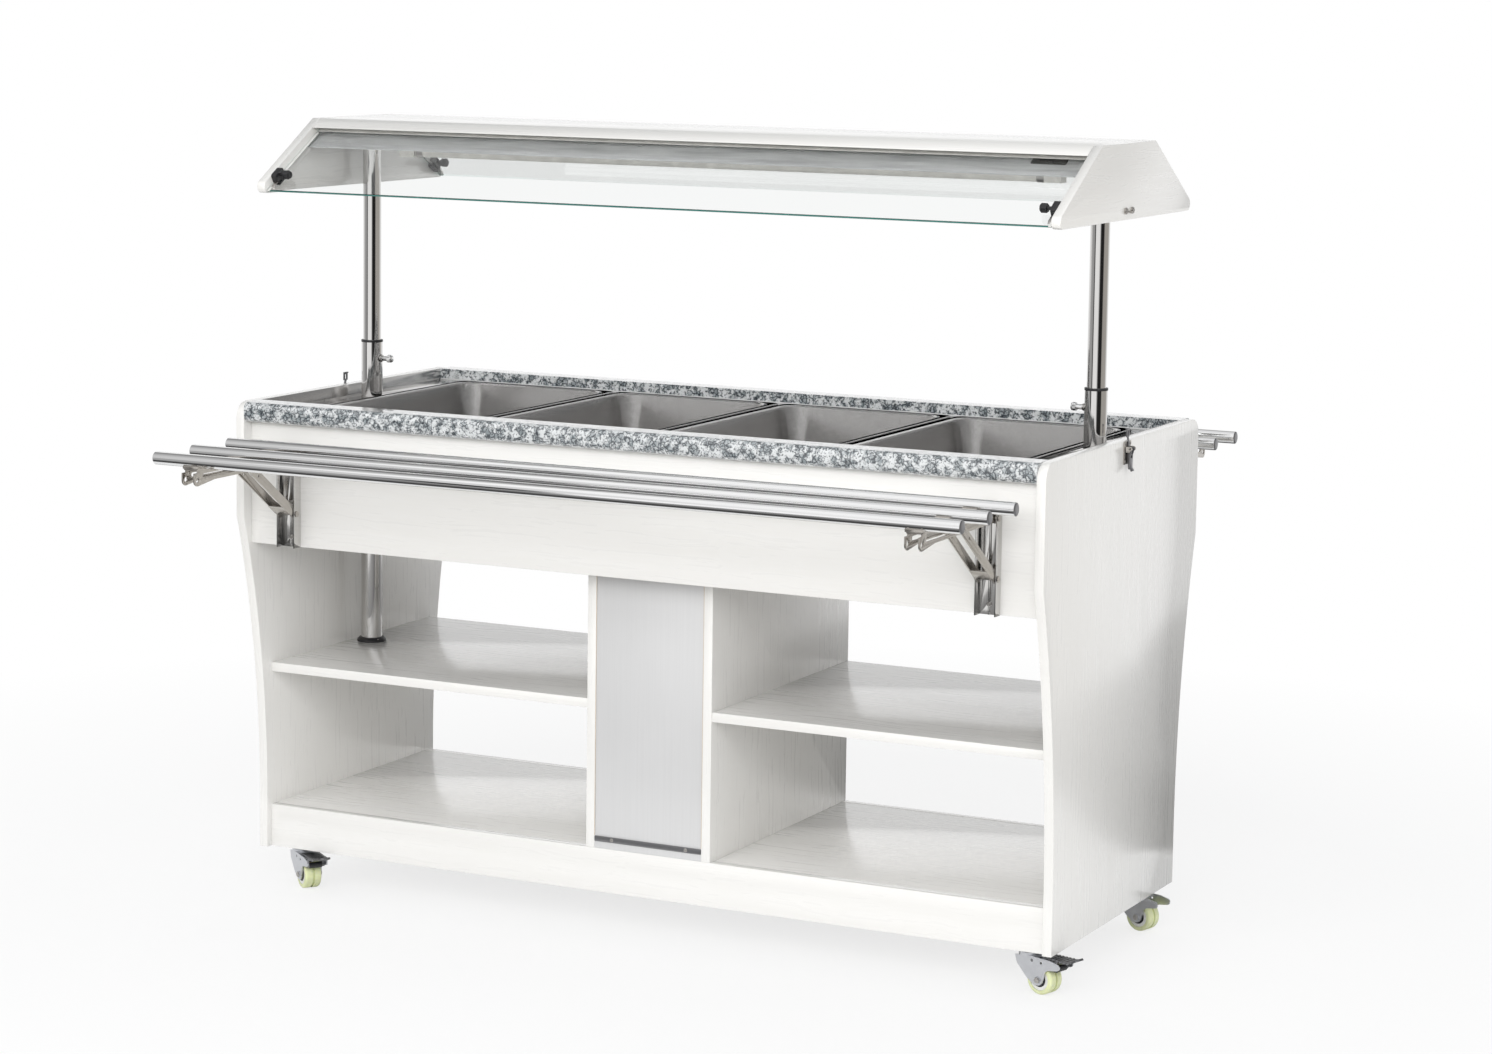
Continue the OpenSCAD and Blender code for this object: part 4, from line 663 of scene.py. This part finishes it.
for end, word in ENDS:
    for k, y in enumerate((-14.5, 14.5)):
        screw(f"keeper_screw_{word}_{k + 1}", (end * 745.0, y, 1243), (end, 0, 0), "canopy", 5.3, 2.0)
    for side, label in SIDES:
        y, z = on_slope(side, 35, -6)
        cap = lathe([(0, 0), (5.6, 0), (6.4, 0.5), (6.4, 1.4), (5.6, 2.1), (3.4, 2.3), (3.0, 1.5),
                     (0, 1.4)], 40)
        keep(f"knob_cap_{label}_{word}", cap, f"glass_knob_{label}_{word}", black_plastic,
             standing((end * 697.6, y, z), (-end, 0, 0)))
    ring = lathe([(8.2, 0), (8.8, 0.4), (8.8, 13.6), (8.2, 14), (8.05, 14), (8.05, 0), (8.2, 0)], 40)
    keep(f"lamp_ferrule_{word}", ring, "canopy", screw_steel,
         standing((end * 585, 0, 1289), (end, 0, 0)))


# Worktop, service duct and cabinet fittings

def sealant_bead(name, y, sign):
    """Quarter-round fillet of uneven width between the deck and the stone's inner face."""
    rings = []
    for k in range(41):
        x = -STONE_INNER_X + 2 * STONE_INNER_X * k / 40
        r = 2.2 + 0.35 * math.sin(k * 1.7)
        hollow = [(r * (1 - math.sin(a)), r * (1 - math.cos(a)))
                  for a in (math.radians(t) for t in (15, 35, 55, 75))]
        rings.append([(x, y + sign * p, DECK_Z + q) for p, q in [(0, 0), (r, 0)] + hollow + [(0, r)]])
    shape, rows = loft(rings)
    shape.faces.new(rows[0])
    shape.faces.new(rows[-1][::-1])
    keep(name, shape, "cabinet", silicone)


sealant_bead("sealant_front", -STONE_INNER_Y, 1)
sealant_bead("sealant_back", STONE_INNER_Y, -1)

for side, label in SIDES:
    strip = slab(rounded_outline(201, 9, 1.2), 0, 1.6, 0.4)
    keep(f"duct_strip_{label}", strip, "cabinet", strip_steel,
         standing((17.75, side * DUCT_PANEL_Y, DUCT_STRIP_Z), (0, side, 0))
         @ Matrix.Rotation(QUARTER, 4, "Z"))
    for k, x in enumerate((-50, 90)):
        screw(f"duct_screw_{label}_{k + 1}", (x, side * (DUCT_PANEL_Y + 1.6), DUCT_STRIP_Z), (0, side, 0),
              "cabinet", 3.4, 1.6)
    for k, x in enumerate((-83.2, 118.7)):
        keep(f"duct_edge_{label}_{k + 1}", slab(rounded_outline(1.0, 470, 0.3), 0, 0.8, 0.2), "cabinet",
             edge_band,
             Matrix.Translation(Vector((x, side * (DUCT_PANEL_Y + 0.1), 405)) * MM)
             @ Matrix.Rotation(-side * QUARTER, 4, "X"))
    for k, x in enumerate((-651, 651)):
        for n, z in enumerate((640, 700)):
            screw(f"channel_screw_{label}_{k + 1}_{n + 1}", (x, side * (APRON_Y + 2), z), (0, side, 0),
                  "cabinet", 4.4, 2.6)

for end, word in ENDS:
    for k, (y, z) in enumerate(((-11.5, 835), (11.5, 835), (-11.5, 864), (11.5, 864))):
        screw(f"latch_screw_{word}_{k + 1}", (end * 752, y, z), (end, 0, 0), "cabinet", 2.6, 1.2)
    for k in range(3):
        a = math.radians(90 + 120 * k)
        screw(f"flange_screw_{word}_{k + 1}",
              (end * POST_X + 23.4 * math.cos(a), 23.4 * math.sin(a), 407.0), (0, 0, 1), "cabinet", 2.0, 1.2)
    weld = lathe([(5.5, 0), (7.0, 0), (6.7, 0.8), (6.1, 1.3), (5.5, 1.4), (5.5, 0)], 36)
    keep(f"boss_weld_{word}", weld, "cabinet", screw_steel,
         standing((end * 675.4, 0, LOCK_Z), (-end, 0, 0)))
    cap = lathe([(0, 1.6), (4.6, 1.6), (5.8, 1.2), (6.3, 0.5), (6.3, 0)], 36)
    keep(f"plunger_cap_{word}", cap, f"lock_plunger_{word}", tube_steel,
         standing((end * 654.0, 0, LOCK_Z), (-end, 0, 0)))
    grip = [((6.55 + 0.45 * (i % 2)) * math.cos(math.radians(7.5 * i)),
             (6.55 + 0.45 * (i % 2)) * math.sin(math.radians(7.5 * i))) for i in range(48)]
    keep(f"plunger_grip_{word}", slab(grip, 0, 5.6, 0.1), f"lock_plunger_{word}", tube_steel,
         standing((end * 655.2, 0, LOCK_Z), (end, 0, 0)), 20)

for k in range(11):
    a = math.radians(-135 + 27 * k)
    mark = slab(rounded_outline(0.9, 3.2 if k % 5 else 4.6, 0.3), 0, 0.25, 0.05)
    at = Vector((DIAL_X - DIAL_R * math.sin(a), DUCT_PANEL_Y, DIAL_Z + DIAL_R * math.cos(a)))
    keep(f"dial_mark_{k + 1}", mark, "cabinet", black_plate,
         Matrix.Translation(at * MM) @ Matrix.Rotation(-a, 4, "Y") @ Matrix.Rotation(-QUARTER, 4, "X"))


# Tray tube ends

for side, label in SIDES:
    for k, out in enumerate((81, 186.5, 292)):
        for end, word in ENDS:
            cap = lathe([(0, 1.5), (6.0, 1.4), (9.0, 1.1), (10.3, 0.6), (10.8, 0.0), (0, 0)], 48)
            keep(f"{label}_tube_cap_{word}_{k + 1}", cap, f"{label}_tray", strip_steel,
                 standing((end * 725, side * (APRON_Y + out), 805), (end, 0, 0)))


# Casters

# Each caster's X and Y, and its turn in degrees
CASTERS = {"front_left": (-694, -225, -37), "front_right": (694, -225, -16),
           "back_left": (-694, 225, -25), "back_right": (694, 225, -16)}
AXLE_TRAIL, AXLE_Z = 28, 25


def caster_place(name, x, y, z):
    """Place in a caster's own frame, whose X points back along its trail."""
    cx, cy, turn = CASTERS[name]
    return (Matrix.Translation(Vector((cx, cy, 0)) * MM) @ Matrix.Rotation(math.radians(turn), 4, "Z")
            @ Matrix.Translation(Vector((x, y, z)) * MM))


def on_axle(name, side, out):
    """Place on a caster's axle, out from the wheel's middle, with local Z pointing away from it."""
    return caster_place(name, AXLE_TRAIL, side * out, AXLE_Z) @ Matrix.Rotation(-side * QUARTER, 4, "X")


for name in CORNERS:
    cx, cy, _ = CASTERS[name]
    for k, (x, y) in enumerate(((-22, -22), (22, -22), (22, 22), (-22, 22))):
        screw(f"caster_screw_{name}_{k + 1}", (cx + x, cy + y, 70), (0, 0, -1), "cabinet", 3.9, 1.8)
    for side, word in ((-1, "in"), (1, "out")):
        disc = lathe([(12.0, 0), (17.7, 0), (17.9, 0.2), (17.5, 0.9), (14.6, 1.2), (12.4, 0.8), (12.0, 0)],
                     60)
        keep(f"wheel_disc_{name}_{word}", disc, f"caster_wheel_{name}", seal_white,
             on_axle(name, side, 13.4))
        washer = lathe([(4.3, 0), (11.5, 0), (12.2, 0.4), (12.2, 1.1), (11.5, 1.3), (4.3, 1.3), (4.3, 0)],
                       48)
        keep(f"wheel_washer_{name}_{word}", washer, f"caster_wheel_{name}", black_plastic,
             on_axle(name, side, 13.4))
        nut = slab([(5.0 * math.cos(math.radians(60 * i)), 5.0 * math.sin(math.radians(60 * i)))
                    for i in range(6)], 0, 2.2, 0.4)
        keep(f"axle_nut_{name}_{word}", nut, f"caster_fork_{name}", screw_steel,
             on_axle(name, side, 20.4))
    race = lathe([(17.2, 0), (19.2, 0.2), (19.8, 1.2), (19.2, 2.4), (17.2, 2.6), (17.2, 0)], 60)
    keep(f"swivel_race_{name}", race, f"caster_fork_{name}", zinc_plate,
         caster_place(name, 0, 0, 65.6))
    if name.startswith("front"):
        for k in range(6):
            rib = slab(rounded_outline(2.0, 24, 0.9), 0, 0.9, 0.35)
            keep(f"pedal_rib_{name}_{k + 1}", rib, f"brake_pedal_{name}", dark_steel,
                 caster_place(name, 43.1 + 7.1 * k, 0, 63.4))
        sleeve = lathe([(3.5, -11.5), (4.6, -11.5), (5.0, -10.9), (5.0, 10.9), (4.6, 11.5), (3.5, 11.5),
                        (3.5, -11.5)])
        keep(f"shoe_sleeve_{name}", sleeve, f"brake_pedal_{name}", black_plastic,
             caster_place(name, 60, 0, 47) @ Matrix.Rotation(QUARTER, 4, "X"))


# Studio, in metres but for the camera's place

CAMERA_TURN, CAMERA_DIP, CAMERA_ROLL = 26.688, 6.802, 0.756
EYE = (2818.4, -5565.9, 1619.1)
PHOTO_WIDTH_PX, FOCAL_PX, SENSOR_MM = 1492, 3657.7, 36
SHIFT_X, SHIFT_Y = 0.0131, -0.0804
FLOOR_R, FLOOR_GLOW = 3.4, 0.75
# Tones that shiny parts reflect, by degrees to the right of the camera: near the horizon, above it, and
# higher up
ROOM_WALL = [(-180, 1.0), (-125, 0.9), (-100, 0.42), (-70, 0.38), (-64, 0.05), (-57, 0.05), (-53, 1.0),
             (-8, 1.0), (2, 0.3), (8, 0.02), (42, 0.02), (50, (0.42, 0.40, 0.37)),
             (105, (0.45, 0.43, 0.40)), (130, 0.95), (180, 1.0)]
ROOM_BAND = [(-180, 1.0), (-130, 1.0), (-100, 0.6), (-62, 0.7), (-40, 0.9), (-10, 0.9), (20, 0.55),
             (60, 0.4), (100, 0.28), (130, 0.35), (145, 1.0), (180, 1.0)]
ROOM_DOME = [(-180, 0.42), (-168, 0.2), (-150, 0.2), (-120, 0.42), (-95, 0.6), (-82, 1.0), (-10, 1.0),
             (20, 0.6), (60, 0.5), (150, 0.5), (180, 0.42)]
ROOM_CEILING = (0.8, 0.8, 0.81)
# Heights, as the upward part of a ray, where one of these gives way to the next
WALL_TO_BAND, BAND_TO_DOME, DOME_TO_CEILING = (0.02, 0.08), (0.38, 0.54), (0.88, 0.97)
ROOM_SOFT_LOW, ROOM_SOFT_HIGH = (0.745, 0.72, 0.675), (0.74, 0.75, 0.76)
# What shiny parts reflect of the floor, by metres in front of or behind the middle
FLOOR_SHINE = [(0.70, 1.0), (0.80, 0.06), (1.25, 0.06), (1.6, 0.2), (3.4, 0.45)]
LAMPS = (("front_softbox", (1.0, -5.2, 3.0), (0, 0, 0.6), (4.6, 2.4), 165),
         ("right_softbox", (5.0, -1.6, 2.2), (0, 0, 0.7), (2.6, 2.6), 10))


def light_rays(tree):
    """Sockets that are 1 for rays that should see plain white, and 1 for rays off shiny parts."""
    path = tree.nodes.new("ShaderNodeLightPath")
    white = math_node(tree, "MAXIMUM", path.outputs["Is Camera Ray"], path.outputs["Is Transmission Ray"])
    return white, path.outputs["Is Glossy Ray"]


def studio_floor():
    """Pale round floor that keeps the shadow and turns white away from the object."""
    shape = bmesh.new()
    bmesh.ops.create_circle(shape, cap_ends=True, segments=96, radius=FLOOR_R)
    mesh = bpy.data.meshes.new("studio_floor")
    shape.to_mesh(mesh)
    shape.free()
    floor = bpy.data.objects.new("studio_floor", mesh)
    bpy.context.collection.objects.link(floor)
    floor.location.z = -0.0005
    material = bpy.data.materials.new("studio_floor_white")
    material.use_nodes = True
    tree = material.node_tree
    shader = tree.nodes["Principled BSDF"]
    shader.inputs["Base Color"].default_value = (0.93, 0.93, 0.93, 1)
    shader.inputs["Roughness"].default_value = 0.9
    shader.inputs["Specular IOR Level"].default_value = 0.1
    glow = add(tree, "ShaderNodeEmission", Strength=1.0)
    where = tree.nodes.new("ShaderNodeTexCoord")
    reach = add(tree, "ShaderNodeVectorMath", {0: where.outputs["Object"]}, operation="LENGTH")
    far = ramp(tree, math_node(tree, "MULTIPLY", reach.outputs["Value"], 1 / FLOOR_R),
               [(0.0, FLOOR_GLOW), (0.38, FLOOR_GLOW), (0.75, 1.0)])
    white_ray, glossy_ray = light_rays(tree)
    mix = add(tree, "ShaderNodeMixShader",
              {0: math_node(tree, "MULTIPLY", far, white_ray), 1: shader.outputs[0], 2: glow.outputs[0]})
    split = add(tree, "ShaderNodeSeparateXYZ", {0: where.outputs["Object"]})
    out = math_node(tree, "MULTIPLY", math_node(tree, "ABSOLUTE", split.outputs["Y"]), 1 / FLOOR_R)
    shine = ramp(tree, out, [(at / FLOOR_R, tone) for at, tone in FLOOR_SHINE])
    card = add(tree, "ShaderNodeEmission", {"Color": shine}, Strength=1.0)
    past_cabinet = math_node(tree, "GREATER_THAN", out, FLOOR_SHINE[0][0] / FLOOR_R)
    both = add(tree, "ShaderNodeMixShader",
               {0: math_node(tree, "MULTIPLY", glossy_ray, past_cabinet), 1: mix.outputs[0],
                2: card.outputs[0]})
    tree.links.new(both.outputs[0], tree.nodes["Material Output"].inputs[0])
    mesh.materials.append(material)


def studio_room():
    """White background, soft room light, and the tones that shiny parts reflect."""
    world = bpy.data.worlds.new("studio_room")
    bpy.context.scene.world = world
    world.use_nodes = True
    tree = world.node_tree
    tree.nodes.clear()
    where = tree.nodes.new("ShaderNodeTexCoord")
    split = add(tree, "ShaderNodeSeparateXYZ", {0: where.outputs["Generated"]})
    x, y, z = split.outputs["X"], split.outputs["Y"], split.outputs["Z"]
    turn = math.radians(CAMERA_TURN)
    ahead = math_node(tree, "MULTIPLY_ADD", x, math.sin(turn),
                      math_node(tree, "MULTIPLY", y, -math.cos(turn)))
    aside = math_node(tree, "MULTIPLY_ADD", x, math.cos(turn), math_node(tree, "MULTIPLY", y, math.sin(turn)))
    around = math_node(tree, "MULTIPLY_ADD", math_node(tree, "ARCTAN2", aside, ahead), 0.5 / math.pi, 0.5)
    room, band, dome = [ramp(tree, around, [(at / 360 + 0.5, tone) for at, tone in tones])
                        for tones in (ROOM_WALL, ROOM_BAND, ROOM_DOME)]
    for (low, high), above in ((WALL_TO_BAND, band), (BAND_TO_DOME, dome), (DOME_TO_CEILING, ROOM_CEILING)):
        room = blend_colour(tree, ramp(tree, z, [(low, 0.0), (high, 1.0)]), room, above)
    soft = ramp(tree, z, [(0.0, ROOM_SOFT_LOW), (0.45, ROOM_SOFT_HIGH)])
    white_ray, glossy_ray = light_rays(tree)
    shown = blend_colour(tree, white_ray, blend_colour(tree, glossy_ray, soft, room), (1, 1, 1))
    back = add(tree, "ShaderNodeBackground", {"Color": shown}, Strength=1.0)
    out = tree.nodes.new("ShaderNodeOutputWorld")
    tree.links.new(back.outputs[0], out.inputs[0])


def studio_lamps():
    """Soft lamps that shiny parts don't reflect."""
    for name, at, target, size, watts in LAMPS:
        lamp = bpy.data.lights.new(name, "AREA")
        lamp.shape, lamp.size, lamp.size_y, lamp.energy = "RECTANGLE", *size, watts
        holder = bpy.data.objects.new(name, lamp)
        bpy.context.collection.objects.link(holder)
        holder.location = at
        holder.rotation_euler = (Vector(target) - Vector(at)).to_track_quat("-Z", "Y").to_euler()
        holder.visible_glossy = False


def camera():
    """Camera at the photograph's place, fitted to the pans and the cabinet's edges."""
    turn, dip, roll = math.radians(CAMERA_TURN), math.radians(CAMERA_DIP), math.radians(CAMERA_ROLL)
    ahead = Vector((-math.sin(turn) * math.cos(dip), math.cos(turn) * math.cos(dip), -math.sin(dip)))
    right = Vector((math.cos(turn), math.sin(turn), 0))
    up = right.cross(ahead)
    right, up = (math.cos(roll) * right + math.sin(roll) * up, -math.sin(roll) * right + math.cos(roll) * up)
    lens = bpy.data.cameras.new("photo_camera")
    lens.lens, lens.sensor_width = FOCAL_PX / PHOTO_WIDTH_PX * SENSOR_MM, SENSOR_MM
    lens.sensor_fit = "HORIZONTAL"
    lens.shift_x, lens.shift_y = SHIFT_X, SHIFT_Y
    lens.clip_end = 200
    eye = bpy.data.objects.new("photo_camera", lens)
    bpy.context.collection.objects.link(eye)
    place = Matrix((right, up, -ahead)).transposed().to_4x4()
    place.translation = Vector(EYE) * MM
    eye.matrix_world = place
    bpy.context.scene.camera = eye


studio_floor()
studio_room()
studio_lamps()
camera()
bpy.context.scene.view_settings.view_transform = "Standard"
